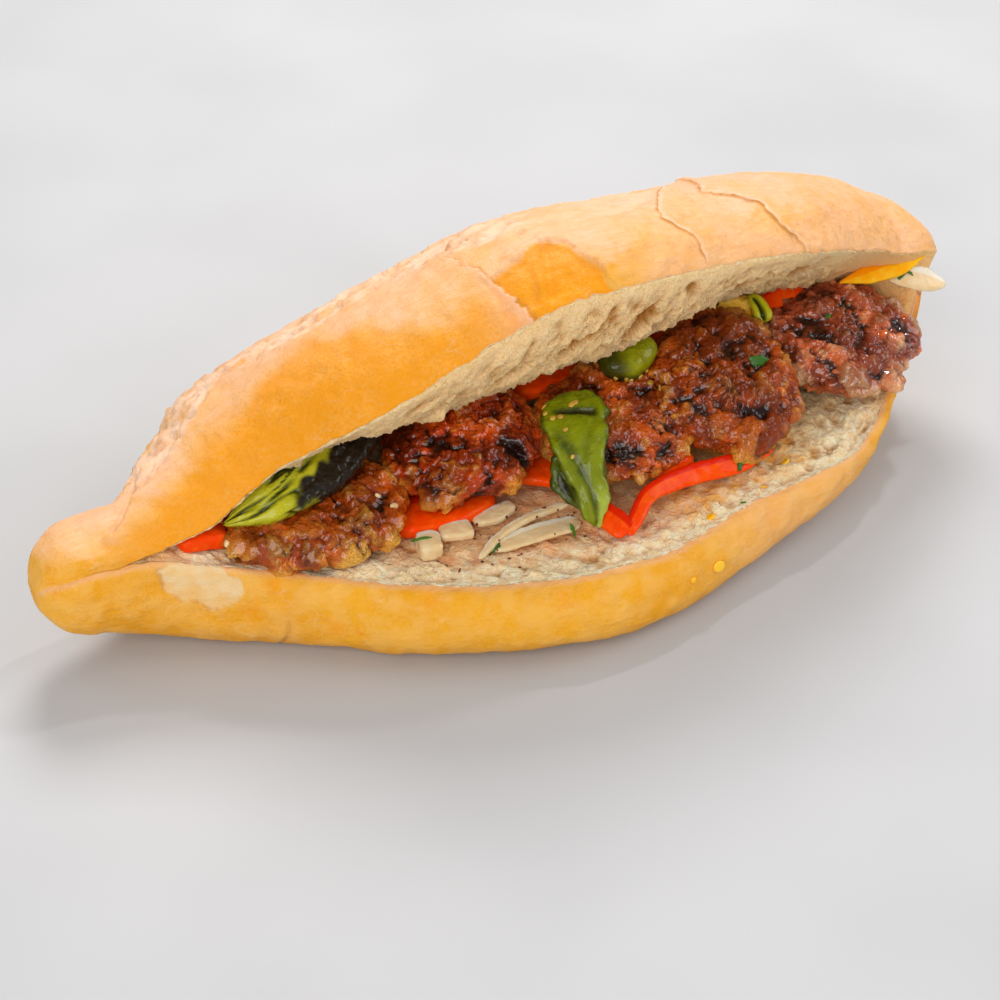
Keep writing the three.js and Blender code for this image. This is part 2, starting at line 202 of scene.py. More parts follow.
def dice(grid: Array, salt: int) -> Array:
    """A number from 0 to 1 for every cell of a grid.

    Args:
        grid: whole numbers, three to a cell.
        salt: picks one of many sets of numbers.

    Returns:
        One number for each cell.
    """
    code = (grid * PRIMES).sum(-1) + salt * SALT_STEP
    for shift, factor in STIRS:
        code = ((code ^ (code >> shift)) * factor) & MASK
    return ((code ^ (code >> 12)) & LOW) / LOW


def waves(points: Array, size: float, salt: int = 0, octaves: int = 1) -> Array:
    """Smooth unevenness, about -1 to 1.

    Args:
        points: where, in millimetres, three numbers to a point.
        size: distance between neighbouring highs and lows, in millimetres.
        salt: picks one of many patterns.
        octaves: how many finer layers are added, each half as wide and half as high.

    Returns:
        One height for each point.
    """
    total = np.zeros(points.shape[:-1])
    for octave in range(octaves):
        place = points / size * 2**octave
        base = np.floor(place).astype(np.int64)
        part = place - base
        fade = part**3 * (part * (part * 6 - 15) + 10)
        for corner in product((0, 1), repeat=3):
            cell = base + corner
            slope = np.stack([dice(cell, salt + 31 * octave + k) for k in range(3)], -1) * 2 - 1
            weight = np.where(np.array(corner) == 1, fade, 1 - fade).prod(-1)
            total += weight * ((part - corner) * slope).sum(-1) * 1.6 / 2**octave
    return total


def cells(points: Array, size: float, salt: int = 0) -> tuple[Array, Array, Array]:
    """Grains or pores, each with a middle of its own.

    Args:
        points: where, in millimetres, three numbers to a point.
        size: usual distance between neighbouring middles, in millimetres.
        salt: picks one of many patterns.

    Returns:
        For each point the distance to the nearest middle and to the next one, both in grain
        sizes, and a number from 0 to 1 that is the nearest grain's own.
    """
    place = points / size
    base = np.floor(place).astype(np.int64)
    near = np.full(points.shape[:-1], 9.0)
    following = near.copy()
    own = np.zeros(points.shape[:-1])
    for step in product((-1, 0, 1), repeat=3):
        cell = base + step
        middle = cell + np.stack([dice(cell, salt + k) for k in range(3)], -1)
        gap = np.linalg.norm(place - middle, axis=-1)
        closer = gap < near
        following = np.where(closer, near, np.minimum(following, gap))
        own = np.where(closer, dice(cell, salt + 7), own)
        near = np.where(closer, gap, near)
    return near, following, own


@dataclass(frozen=True)
class Trail:
    """A line drawn on a surface through a few points of its two coordinates."""

    points: tuple[tuple[float, float], ...]

    def measure(self, first: Array, second: Array) -> tuple[Array, Array, Array]:
        """Places every point of the surface against the line.

        Args:
            first: the surface's first coordinate at each point.
            second: its second coordinate.

        Returns:
            The distance to the line, which side of it (above 0 is left of its direction), and the
            share of the line's pieces passed at the nearest spot.
        """
        nearest = np.full(first.shape, 1e9)
        side = np.zeros(first.shape)
        passed = np.zeros(first.shape)
        pieces = len(self.points) - 1
        for i, ((ax, ay), (bx, by)) in enumerate(zip(self.points, self.points[1:])):
            dx, dy = bx - ax, by - ay
            t = np.clip(((first - ax) * dx + (second - ay) * dy) / (dx * dx + dy * dy), 0, 1)
            gap = np.hypot(first - ax - t * dx, second - ay - t * dy)
            closer = gap < nearest
            turn = np.sign(dx * (second - ay) - dy * (first - ax))
            nearest, side = np.where(closer, gap, nearest), np.where(closer, turn, side)
            passed = np.where(closer, (i + t) / pieces, passed)
        return nearest, side, passed


# ---- meshes


@dataclass
class Skin:
    """A closed surface through a row of rings, with the values that its finish reads."""

    points: Array  # rings, points round each ring, and three millimetres
    values: dict[str, Array] = field(default_factory=dict)

    def normals(self) -> Array:
        """Directions that point out of the surface."""
        around = np.roll(self.points, -1, axis=1) - np.roll(self.points, 1, axis=1)
        return unit(np.cross(around, np.gradient(self.points, axis=0)))

    def lift(self, height: Array) -> None:
        """Moves every point out along its normal by its height in millimetres."""
        self.points = self.points + self.normals() * height[..., None]

    def parts(self) -> tuple[Array, list[list[int]], dict[str, Array]]:
        """The surface as plain lists, each end closed on its middle.

        Returns:
            Points in metres, faces as lists of point numbers, and the values at every point.
        """
        rings, size = self.points.shape[:2]
        number = np.arange(rings * size).reshape(rings, size)
        following = np.roll(number, -1, axis=1)
        quads = np.stack([number[:-1], following[:-1], following[1:], number[1:]], -1).reshape(-1, 4)
        first, last = rings * size, rings * size + 1
        start = np.stack([np.full(size, first), following[0], number[0]], -1)
        end = np.stack([np.full(size, last), number[-1], following[-1]], -1)
        ends = self.points[[0, -1]].mean(axis=1)
        points = np.concatenate([self.points.reshape(-1, 3), ends]) * MM
        values = {
            name: np.concatenate([v.reshape(-1), v[[0, -1]].mean(axis=1)]) for name, v in self.values.items()
        }
        return points, quads.tolist() + start.tolist() + end.tolist(), values


def make_piece(name: str, skins: Iterable[Skin], material: bpy.types.Material) -> bpy.types.Object:
    """Makes one named piece from closed surfaces.

    Args:
        name: the piece's name.
        skins: its surfaces, all with the same values.
        material: its finish.

    Returns:
        The new object, linked to the scene.
    """
    points, faces, values = [], [], {}
    for skin in skins:
        some_points, some_faces, some_values = skin.parts()
        start = sum(len(p) for p in points)
        faces += [[start + i for i in face] for face in some_faces] if start else some_faces
        points.append(some_points)
        for key, value in some_values.items():
            values.setdefault(key, []).append(value)
    mesh = bpy.data.meshes.new(name)
    mesh.from_pydata(np.concatenate(points).tolist(), [], faces)
    for key, parts in values.items():
        made = mesh.attributes.new(key, "FLOAT", "POINT")
        made.data.foreach_set("value", np.concatenate(parts).astype(np.float32))
    mesh.shade_smooth()
    mesh.materials.append(material)
    piece = bpy.data.objects.new(name, mesh)
    bpy.context.scene.collection.objects.link(piece)
    return piece


def hand_over(piece: bpy.types.Object, slot: Slot, *nodes: str) -> None:
    """Sets what a finished piece rides on and stands for, and reports it.

    Args:
        piece: the finished piece.
        slot: the record's slot it takes its finish from; not used.
        nodes: the construction nodes it stands for, if any.
    """
    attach(piece, "root")
    if nodes:
        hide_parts(*nodes)
    triangles = sum(len(face.vertices) - 2 for face in piece.data.polygons)
    log.info("%s: %d triangles, stands for %s", piece.name, triangles, ", ".join(nodes) or "no node")


# ---- materials


def per_metre(millimetres: float) -> float:
    """The texture scale whose pattern has features of this size."""
    return 1 / (millimetres * MM)


class Bench:
    """A new material with its shader, and the ways to work on it."""

    def __init__(self, name: str, constants: dict[str, object]) -> None:
        """Lays out the material.

        Args:
            name: the material's name.
            constants: what the shader's inputs hold, by their names.
        """
        self.material = bpy.data.materials.new(name)
        self.material.use_nodes = True
        self.tree = self.material.node_tree
        self.tree.nodes.clear()
        self.shader = self.add("ShaderNodeBsdfPrincipled", constants)
        self.add("ShaderNodeOutputMaterial", {"Surface": self.shader.outputs[0]})

    def add(self, kind: str, inputs: dict[str | int, object] | None = None, **settings: object) -> Node:
        """Adds a node with its settings and links.

        Args:
            kind: the node's type.
            inputs: for an input, by name or number, the output that feeds it or the value it holds.
            settings: the node's own properties.

        Returns:
            The new node.
        """
        node = self.tree.nodes.new(kind)
        for name, value in settings.items():
            setattr(node, name, value)
        for name, value in (inputs or {}).items():
            if isinstance(value, Socket):
                self.tree.links.new(value, node.inputs[name])
            else:
                node.inputs[name].default_value = value
        return node

    def feed(self, name: str, output: Socket) -> None:
        """Links an output to the shader's input of this name."""
        self.tree.links.new(output, self.shader.inputs[name])

    def noise(self, size: float, detail: float, stretch: Triple) -> Socket:
        """Soft noise of a real size.

        Args:
            size: usual distance between its highs in millimetres.
            detail: how many finer layers it has.
            stretch: below 1 on an axis, the noise is that much longer along it.

        Returns:
            The output that holds the noise.
        """
        where = self.add("ShaderNodeTexCoord").outputs["Object"]
        where = self.add("ShaderNodeVectorMath", {0: where, 1: stretch}, operation="MULTIPLY").outputs[0]
        inputs = {"Vector": where, "Scale": per_metre(size), "Detail": detail}
        return self.add("ShaderNodeTexNoise", inputs).outputs["Fac"]

    def lines(self, size: float, width: float) -> Socket:
        """Thin wandering lines.

        Args:
            size: usual distance between them in millimetres.
            width: half the share of the noise's range that a line takes.

        Returns:
            The output that is 1 on a line.
        """
        noise = self.noise(size, 2.5, (1.0, 1.0, 1.0))
        level = self.add("ShaderNodeMath", {0: noise, 1: 0.5}, operation="SUBTRACT").outputs[0]
        away = self.add("ShaderNodeMath", {0: level}, operation="ABSOLUTE").outputs[0]
        limits = {"Value": away, "From Min": width, "From Max": 0.0}
        return self.add("ShaderNodeMapRange", limits).outputs["Result"]

    def pattern(self, size: float, detail: float = 2.0, spread: float = 0.08,
                stretch: Triple = (1.0, 1.0, 1.0)) -> Socket:
        """An even spread of soft patches, 0 to 1, of a real size.

        Args:
            size: usual width of a patch in millimetres.
            detail: how many finer layers it has.
            spread: half the width of the change from no patch to patch.
            stretch: below 1 on an axis, the patches are that much longer along it.

        Returns:
            The output that holds the patches.
        """
        noise = self.noise(size, detail, stretch)
        limits = {"Value": noise, "From Min": 0.5 - spread, "From Max": 0.5 + spread}
        return self.add("ShaderNodeMapRange", limits, interpolation_type="SMOOTHSTEP").outputs["Result"]

    def value(self, name: str, low: float = 0.0, high: float = 1.0) -> Socket:
        """A value stored on the mesh, as a share of the way from low to high.

        Args:
            name: the stored value.
            low: the value that gives 0.
            high: the value that gives 1.

        Returns:
            The output that holds the share.
        """
        stored = self.add("ShaderNodeAttribute", attribute_name=name).outputs["Fac"]
        limits = {"Value": stored, "From Min": low, "From Max": high}
        return self.add("ShaderNodeMapRange", limits).outputs["Result"]

    def both(self, first: Socket, second: Socket | float) -> Socket:
        """Where both masks hold: their product."""
        return self.add("ShaderNodeMath", {0: first, 1: second}, operation="MULTIPLY").outputs[0]

    def colour(self, base: str, coats: list[Coat]) -> None:
        """Feeds the shader colours laid over one another, each where its mask lets it show.

        Args:
            base: the undermost colour.
            coats: the colours over it, each with its mask and, below 1, its strength.
        """
        colour = paint(base)
        for code, mask, *strength in coats:
            mask = self.both(mask, strength[0]) if strength else mask
            parts = {0: mask, 6: colour, 7: paint(code)}
            colour = self.add("ShaderNodeMix", parts, data_type="RGBA").outputs[2]
        self.feed("Base Color", colour)

    def relief(self, layers: list[tuple[Socket, float]]) -> None:
        """Fine relief on the shader's normal.

        Args:
            layers: patterns, each with its height in millimetres.
        """
        normal = None
        for height, size in layers:
            parts = {"Height": height, "Distance": size * MM, "Strength": 1.0}
            if normal is not None:
                parts["Normal"] = normal
            normal = self.add("ShaderNodeBump", parts).outputs["Normal"]
        self.feed("Normal", normal)


@dataclass(frozen=True)
class Finish:
    """A surface finish. Each kind adds its colours, roughness and relief in dress()."""

    name: str = "finish"
    roughness: float = 0.5
    ior: float = 1.45
    gloss: float = 0.5  # strength of the mirror part, 0.5 being what the IOR gives
    coat: float = 0.0
    coat_roughness: float = 0.1
    depth: float = 0.0  # how far light travels under the surface, in millimetres
    tint: Triple = (1.0, 0.6, 0.4)  # shares of that depth for red, green and blue
    share_inside: float = 0.0  # share of the light that goes under the surface

    def material(self) -> bpy.types.Material:
        """The finish as a new node material."""
        bench = Bench(self.name, {
            "Roughness": self.roughness,
            "IOR": self.ior,
            "Specular IOR Level": self.gloss,
            "Coat Weight": self.coat,
            "Coat Roughness": self.coat_roughness,
            "Subsurface Weight": self.share_inside,
            "Subsurface Radius": self.tint,
            "Subsurface Scale": self.depth * MM,
        })
        self.dress(bench)
        return bench.material

    def dress(self, bench: Bench) -> None:
        """Adds the finish's own pattern to its shader."""
        raise NotImplementedError


@dataclass(frozen=True)
class BakedCrust(Finish):
    """Crust of a white loaf, baked on a floured stone: thin, dry and satin, golden where it browned,
    deep orange where it stayed smooth, pale and rough where the slash tore open."""

    name: str = "baked_white_crust"
    ior: float = 1.42
    gloss: float = 0.15
    golden: str = "#EEA61A"
    orange: str = "#E89A14"
    deep: str = "#F09602"
    # pale of flour and torn crust, and the painted sheen on top
    washed: str = "#F2B78D"
    torn: str = "#F5CDAC"
    fleck: str = "#F3C474"
    # dark of cracks, and painted shade in creases, seams and beside standing edges
    fissure: str = "#C4802F"
    bare: str = "#EBCB98"

    def dress(self, bench: Bench) -> None:
        """Browned clouds, flour flecks, pale wrinkles, the torn slash, dark cracks, a painted sheen on top
        and painted shade in creases and under folded edges.
        """
        clouds = bench.pattern(24, 2.5, 0.12)
        mottle = bench.pattern(7, 3, 0.16)
        flecks = bench.both(bench.pattern(1.0, 1, 0.25), bench.pattern(9, 1, 0.4))
        streaks = bench.pattern(1.6, 3, 0.2, (0.22, 1.0, 1.0))
        wrinkles = bench.both(bench.lines(14, 0.006), bench.pattern(12, 1, 0.04))
        grain = bench.pattern(0.7, 3, 0.2)
        washed, glow = bench.value("washed"), bench.value("glow")
        bench.colour(self.golden, [
            (self.orange, clouds, 0.6),
            (self.fleck, mottle, 0.32),
            (self.deep, glow),
            (self.fleck, flecks, 0.3),
            (self.washed, washed),
            (self.torn, bench.both(streaks, washed), 0.4),
            (self.torn, wrinkles, 0.22),
            (self.torn, bench.value("torn")),
            (self.bare, bench.value("bare")),
            (self.fissure, bench.value("fissure")),
            *self.fold(bench, "overlap"),
            *self.fold(bench, "flap"),
        ])
        rough = {"Value": bench.value("torn"), "To Min": 0.47, "To Max": 0.8}
        bench.feed("Roughness", bench.add("ShaderNodeMapRange", rough).outputs["Result"])
        bench.relief([
            (mottle, 0.2), (flecks, 0.06), (wrinkles, 0.05), (streaks, 0.1), (grain, 0.07),
        ])

    def fold(self, bench: Bench, name: str) -> list[Coat]:
        """The thin painted shadow under a folded edge of crust, and the pale flake that casts it, its edge
        pale from the tear and lit by a painted highlight.

        Args:
            bench: the material.
            name: the stored distance from the edge, in millimetres, above 0 on the proud side.

        Returns:
            Both coats of colour.
        """
        kept = bench.value("folded")
        shadow = bench.both(bench.value(name, -1.1, -0.1), bench.value(name, 0.2, 0.0))
        # pale torn edge of the flake, with a painted highlight along it
        flake_and_highlight = bench.both(bench.value(name, 0.0, 0.25), bench.value(name, 1.8, 0.4))
        return [
            (self.torn, bench.both(flake_and_highlight, kept), 0.6),
            (self.fissure, bench.both(shadow, kept), 0.8),
        ]


@dataclass(frozen=True)
class OpenCrumb(Finish):
    """Crumb of a white loaf, torn rather than cut: matt and cream, its pores painted darker and yellower in
    their depth as shade.
    """

    name: str = "torn_white_crumb"
    roughness: float = 0.9
    ior: float = 1.35
    gloss: float = 0.25
    depth: float = 2.2
    tint: Triple = (1.0, 0.8, 0.5)
    share_inside: float = 0.5
    cream: str = "#FCE2B2"
    straw: str = "#EEC284"
    # painted shade for the pores and hollows
    pore_shade: str = "#BE8038"
    soaked: str = "#F09A5C"
    # painted glow of light through thin crumb
    thin: str = "#FFC480"
    oily: str = "#FFB64C"
    # painted light on the crumb near the lips
    lip_light: str = "#FFEFCC"

    def dress(self, bench: Bench) -> None:
        """Cream walls, straw patches, spots soaked with juice and oil, and painted light: shade in the pores,
        the pits and over the lid's face, light near the lips and a warm glow where the crumb is thin.
        """
        patches = bench.pattern(7, 3, 0.12)
        fine = bench.pattern(1.1, 3, 0.16)
        pits = bench.pattern(1.8, 2, 0.07)
        grain = bench.pattern(0.55, 2, 0.2)
        bench.colour(self.cream, [
            (self.straw, patches, 0.45),
            (self.straw, fine, 0.32),
            # painted shade: the straw darkens the pits that the relief sinks
            (self.straw, pits, 0.4),
            # painted shade over the lid's crumb face
            (self.straw, bench.value("lid_shade")),
            (self.lip_light, bench.both(bench.value("lip_light"), bench.pattern(3, 3, 0.3))),
            (self.pore_shade, bench.value("pore_shade")),
            (self.soaked, bench.both(bench.value("soaked"), bench.pattern(5, 3, 0.3))),
            (self.oily, bench.both(bench.value("oily"), bench.pattern(4, 2, 0.3))),
            (self.thin, bench.value("thin")),
        ])
        bench.relief([(pits, -0.22), (fine, 0.16), (grain, 0.08)])


@dataclass(frozen=True)
class GrilledMince(Finish):
    """Minced lamb and onion grilled over charcoal: coarse grains, wet with fat, near black where the bars
    burnt them, orange where fat and onion browned."""

    name: str = "grilled_mince"
    ior: float = 1.46
    gloss: float = 0.05
    coat: float = 0.75
    brown: str = "#A4440E"
    dark: str = "#521A06"
    red: str = "#CC4410"
    amber: str = "#F2A040"
    purple: str = "#66261E"
    # painted shade for the hollows and cracks
    gap: str = "#260A03"
    burnt: str = "#34120A"

    def dress(self, bench: Bench) -> None:
        """Lumps of their own tones, painted shade in the hollows and cracks, painted highlights on the
        crests, fat and burnt patches.
        """
        patches = bench.pattern(9, 3, 0.12)
        red = bench.pattern(6, 2, 0.1)
        fine = bench.pattern(1.3, 3, 0.2)
        grain = bench.pattern(0.6, 2, 0.2)
        bench.colour(self.brown, [
            (self.dark, bench.value("own", 0.45, 0.15), 0.6),
            (self.red, red, 0.45),
            (self.red, bench.value("own", 0.5, 0.8), 0.6),
            (self.purple, bench.value("purple"), 0.7),
            (self.dark, patches, 0.45),
            # painted highlight: amber on the highest crests
            (self.amber, bench.value("crest_highlight"), 0.62),
            (self.amber, bench.value("fat")),
            (self.dark, fine, 0.25),
            (self.dark, bench.value("shade")),
            # painted shade in the hollows and cracks
            (self.gap, bench.value("gap")),
            (self.burnt, bench.value("burnt")),
        ])
        bench.relief([(fine, 0.42), (grain, 0.3)])


@dataclass(frozen=True)
class GrilledPepper(Finish):
    """Skin of a long green pepper, blistered over charcoal: thin, waxy and wet, bright where it only
    steamed, black with a grey gloss where it burnt."""

    name: str = "grilled_green_pepper"
    roughness: float = 0.35
    gloss: float = 0.12
    coat: float = 0.4
    coat_roughness: float = 0.08
    depth: float = 2.0
    tint: Triple = (0.5, 1.0, 0.15)
    share_inside: float = 0.1
    green: str = "#8E9010"
    bright: str = "#C4BE22"
    # painted shade for the folds
    dark: str = "#2C3408"
    flesh: str = "#BCCB52"
    char: str = "#20180E"

    def dress(self, bench: Bench) -> None:
        """Bright ridges, folds painted dark as shade, pale torn flesh and char."""
        streaks = bench.pattern(4, 3, 0.12)
        fine = bench.pattern(1.0, 2, 0.2)
        bench.colour(self.green, [
            (self.bright, streaks, 0.6),
            (self.bright, bench.value("ridge")),
            # painted shade in folds, slits and hollows
            (self.dark, bench.value("fold")),
            (self.flesh, bench.value("flesh")),
            (self.char, bench.value("burnt")),
        ])
        bench.relief([(streaks, 0.2), (fine, 0.08)])


@dataclass(frozen=True)
class CutFlesh(Finish):
    """Cut raw flesh of tomato, sweet pepper or onion: juicy, smooth and see-through at its edges, with a
    thin skin of a stronger colour."""

    name: str = "cut_flesh"
    roughness: float = 0.22
    ior: float = 1.38
    coat: float = 0.3
    coat_roughness: float = 0.08
    depth: float = 3.0
    share_inside: float = 0.4
    clear: float = 0.0
    flesh: str = "#FF5A1E"
    skin: str = "#E01E08"
    vein: str = "#FF8A3C"

    def dress(self, bench: Bench) -> None:
        """Flesh with soft veins, skin along its edges."""
        bench.shader.inputs["Transmission Weight"].default_value = self.clear
        veins = bench.pattern(3.5, 3, 0.14)
        fine = bench.pattern(0.9, 2, 0.2)
        bench.colour(self.flesh, [
            (self.vein, veins, 0.5),
            (self.skin, bench.value("skin")),
        ])
        bench.relief([(veins, 0.12), (fine, 0.05)])


@dataclass(frozen=True)
class PaleFloor(Finish):
    """Matt white laminate: even, with the faintest cloudiness."""

    name: str = "pale_floor"
    roughness: float = 0.75
    pale: str = "#C2C2C3"
    cloud: str = "#BCBCBD"

    def dress(self, bench: Bench) -> None:
        """A barely seen cloudiness."""
        clouds = bench.pattern(120, 2, 0.2)
        bench.colour(self.pale, [(self.cloud, clouds)])


# ---- bread


@dataclass(frozen=True)
class LoafEnd:
    """One rounded end of the loaf: where it starts, how long it is and the point it closes on."""

    start: float
    length: float
    y: float
    z: float


@dataclass(frozen=True)
class CrustPlan:
    """Where the points of a ring lie on each stretch of the crust, as shares of that stretch."""

    front: Array  # the base's front, from its lip down to its belly
    corner: Array  # the rounding under it
    flat: Array  # the flat bottom
    back: Array  # the rounding behind
    fold: Array  # the crease between base and lid
    arch: Array  # the lid, from its back over its top to its lip

    @staticmethod
    def of(front: int, corner: int, flat: int, back: int, fold: int, rear: int, top: int) -> "CrustPlan":
        """A plan with so many points on each stretch.

        Args:
            front, corner, flat, back, fold: points on each of these stretches.
            rear, top: points on the lid behind its top, and from its top to its lip.
        """
        half = 0.5
        arch = [np.linspace(0, half, rear, endpoint=False), half + half * np.linspace(0, 1, top)]
        return CrustPlan(
            np.linspace(0, 1, front),
            np.linspace(0, 1, corner + 1)[1:],
            np.linspace(0, 1, flat + 2)[1:-1],
            np.linspace(0, 1, back),
            np.linspace(0, 1, fold + 2)[1:-1],
            np.concatenate(arch),
        )


@dataclass
class CrustMarks:
    """The folds, tears and tones of the crust, laid on its points."""

    points: Array  # the crust's rings
    shown: int  # how many points of each ring are on its outside
    lid_start: int  # the first of them on the lid

    # Lines of (place along the loaf, distance back from the lid's lip).
    tear: Trail = Trail(((-29, 40), (-26, 26), (-24, 18), (-22, 12), (-20, 6), (-17.5, 0)))
    dent_edge: Trail = Trail(
        ((-24, 18), (-17, 19.5), (-10, 23), (-3, 23), (1, 19), (4, 13), (7, 7), (9, 0)))
    dent_folds: tuple[Trail, ...] = (
        Trail(((-5.5, 20), (-8.5, 11), (-10.7, 4), (-11.5, 0))),
        Trail(((-13.5, 17), (-14.5, 10), (-16, 4))),
    )
    overlap: Trail = Trail(((66, 58), (66, 40), (60, 30), (68, 25), (74.5, 18), (75.5, 10), (81, 4), (82, 0)))
    flap_edge: Trail = Trail(((66, 54), (50, 39), (41, 28), (36.5, 19.5), (39, 17), (43.5, 10.5), (44, 4)))
    tip_fold: Trail = Trail(((121, 12), (123.5, 7), (126, 3)))
    slash_ridge: Trail = Trail((
        (-129, 18), (-122, 22), (-113, 27), (-105, 32), (-96, 38), (-83, 39), (-74, 40), (-58, 42),
        (-41, 43), (-29, 38)))
    slash_right: Trail = Trail(((-29, 38), (-12, 34), (8, 30), (24, 26), (38, 30), (52, 42), (66, 54)))
    slash_width: float = 34
    deep_edge: Trail = Trail((
        (-140, 10), (-124, 15), (-108, 25), (-89, 31), (-72, 37), (-60, 31), (-45, 18), (-30, 12), (-20, 8)))
    pinch: Trail = Trail(((-139.5, 12), (-136.5, 14), (-133, 18.5), (-129.5, 24), (-126, 30)))
    bare_place: tuple[float, float] = (-119.5, 6.5)  # along the loaf, and down from the base's lip
    bare_size: tuple[float, float] = (10.8, 7.6)
    crease_at: float = -98
    orange_spots: tuple[tuple[float, float, float, float], ...] = (  # x, y, z and radius
        (-159.5, -5, 42, 3.2), (-159, -5, 35.5, 3.4), (-60.5, -51, 25, 3.4), (-24.5, -67, 22, 3.2),
        (-86.5, -39.5, 15.5, 2.6), (-80.5, -44, 15, 1.8), (-107, -25.5, 20.5, 2.8),
        (-100.5, -27, 28.5, 2.8), (-99, -7, 67, 4.5), (-57, -14, 92, 4), (-86, 20, 75, 2.2),
    )

    def __post_init__(self) -> None:
        """Measures how far each point lies from both lips."""
        shape = self.points.shape[:2]
        self.along = self.points[..., 0]
        walked = walk(self.points[:, :self.shown])
        self.back, self.down = np.zeros(shape), np.zeros(shape)  # millimetres from each lip
        self.back[:, :self.shown] = walked[:, -1:] - walked
        self.down[:, :self.shown] = walked
        self.on_lid, self.outside = np.zeros(shape), np.zeros(shape)
        self.on_lid[:, self.lid_start : self.shown] = 1
        self.outside[:, :self.shown] = 1
        self.on_base = self.outside - self.on_lid
        # Torn edges wander a little.
        self.torn_along = self.along + 0.9 * waves(self.points, 4.5, 95, 3)
        self.torn_back = self.back + 0.9 * waves(self.points, 4.5, 96, 3)
        self.height = 0.3 * waves(self.points, 9, 41, 3)
        names = ("glow", "washed", "torn", "bare", "fissure", "folded")
        self.marks = {name: np.zeros(shape) for name in names}
        self.edges: dict[str, Array] = {}

    def mark(self, name: str, share: Array) -> None:
        """Brings a mark up to this share where it is weaker."""
        self.marks[name] = np.maximum(self.marks[name], share)

    def values(self) -> dict[str, Array]:
        """The marks as the finish reads them, a value for each point under each name."""
        hidden = 1 - self.outside
        # painted shade on the crust's hidden side where the slit is shut in the knob
        shut = 0.6 * ramp(self.along, -126, -133) * ramp(self.along, -154, -147) * hidden
        self.mark("torn", 0.9 * (ramp(self.along, -136, -126) * hidden))
        self.marks["fissure"] *= 0.45 + 0.55 * ramp(waves(self.points, 8, 99, 2), -0.3, 0.3)
        values = {name: np.clip(share, 0, 1) for name, share in self.marks.items()}
        for name in ("glow", "washed", "fissure", "folded"):
            values[name] = values[name] * self.outside
        values["fissure"] = values["fissure"] + shut
        return {**values, **self.edges}

    def lay(self, skin: Skin) -> None:
        """Raises the crust's folds and sets what its finish reads."""
        for part in (self.brown, self.tear_open, self.press_dent, self.fold_edges, self.pinch_knob,
                     self.open_slash, self.wrinkle, self.wear_base, self.shut_seam):
            part()
        self.pale(skin.normals())
        from_lip = self.back * self.on_lid + self.down * self.on_base
        skin.lift(self.height * self.outside * ramp(from_lip, -0.5, 1.2))
        skin.values = self.values()

    def brown(self) -> None:
        """Deep orange, smooth lower half of the lid's left lobe, and orange spots."""
        gap, side, _ = self.deep_edge.measure(self.along, self.back)
        blur = gap * -side + 7 * waves(self.points, 22, 93, 2)
        lobe = ramp(blur, -5, 7) * ramp(self.along, -150, -128) * ramp(self.along, -14, -30)
        self.mark("glow", lobe * 0.9)
        for x, y, z, radius in self.orange_spots:
            away = np.linalg.norm(self.points - [x, y, z], axis=-1) + waves(self.points, 3, 94, 2)
            self.mark("glow", 0.75 * bump(np.maximum(away, 0), radius))

    def tear_open(self) -> None:
        """The tear, its left side standing over its right."""
        gap, side, _ = self.tear.measure(self.torn_along, self.torn_back)
        near = ramp(self.back, 44, 36)
        self.height += 0.9 * np.exp(-gap / 4) * (side < 0) * near
        # painted shadow beside the tear's standing left side
        self.mark("fissure", 0.8 * bump(gap - 0.5, 0.6) * (side > 0) * near)
        self.mark("washed", 0.9 * np.exp(-gap / 5) * (side < 0) * near)
        self.mark("washed", 0.55 * (bump(gap, 1.6) * (side < 0) * near))

    def press_dent(self) -> None:
        """The dent right of the tear, smooth and orange under a scalloped pale edge."""
        along, back = self.along, self.back
        gap, side, _ = self.dent_edge.measure(self.torn_along, self.torn_back)
        gap = gap + 1.1 * waves(self.points, 4, 97, 2) * ramp(gap, 6, 0)
        span = (along > -26) * (along < 11) * ramp(back, 27, 24)
        within = ramp(-side * gap, -0.3, 0.3) * span
        self.height -= 1.0 * within * ramp(gap, 0, 4) * ramp(back, 0.8, 5)
        self.height += 0.5 * np.exp(-gap / 3) * (side > 0) * span
        self.mark("glow", within * ramp(gap, 0.1, 1.8))
        # painted shade along the inside of the dent's scalloped edge
        self.mark("fissure", 0.2 * bump(gap - 0.3, 0.7) * within)
        for trail, depth in zip(self.dent_folds, (0.9, 0.5)):
            gap, side, _ = trail.measure(along, back)
            kept = within * ramp(back, 0.5, 4)
            self.height -= depth * bump(gap, 1.5) * kept
            self.height += depth * 0.6 * bump(gap - 3, 2) * kept * (side < 0)

    def fold_edges(self) -> None:
        """Two folded edges of crust, each proud on its right."""
        patchy = 0.55 + 0.45 * ramp(waves(self.points, 7, 98, 2), -0.3, 0.3)
        for name, trail, rise, limit in (
            ("overlap", self.overlap, 1.1, 58),
            ("flap", self.flap_edge, 0.8, 54),
        ):
            gap, side, _ = trail.measure(self.torn_along, self.torn_back)
            kept = self.on_lid * ramp(self.back, limit + 8, limit - 4)
            edge = np.clip(gap * side, -9, 9)  # millimetres, above 0 on the proud side
            self.edges[name] = edge
            self.height += rise * ramp(edge, -0.6, 0.6) * np.exp(-gap / 7) * kept
            self.mark("folded", kept * patchy)

    def pinch_knob(self) -> None:
        """The small fold at the tip, and the pinch by the knob with the roll beside it."""
        for trail, depth in ((self.tip_fold, 0.4), (self.pinch, 1.9)):
            gap, side, passed = trail.measure(self.along, self.back)
            faded = np.sin(math.pi * np.clip(passed, 0.15, 0.9))
            self.height -= depth * bump(gap, 1.2) * self.on_lid * faded
        self.height += 1.3 * bump(gap - 2.4, 2.2) * (side < 0) * self.on_lid
        self.mark("washed", 0.8 * np.exp(-gap / 3) * self.on_lid)

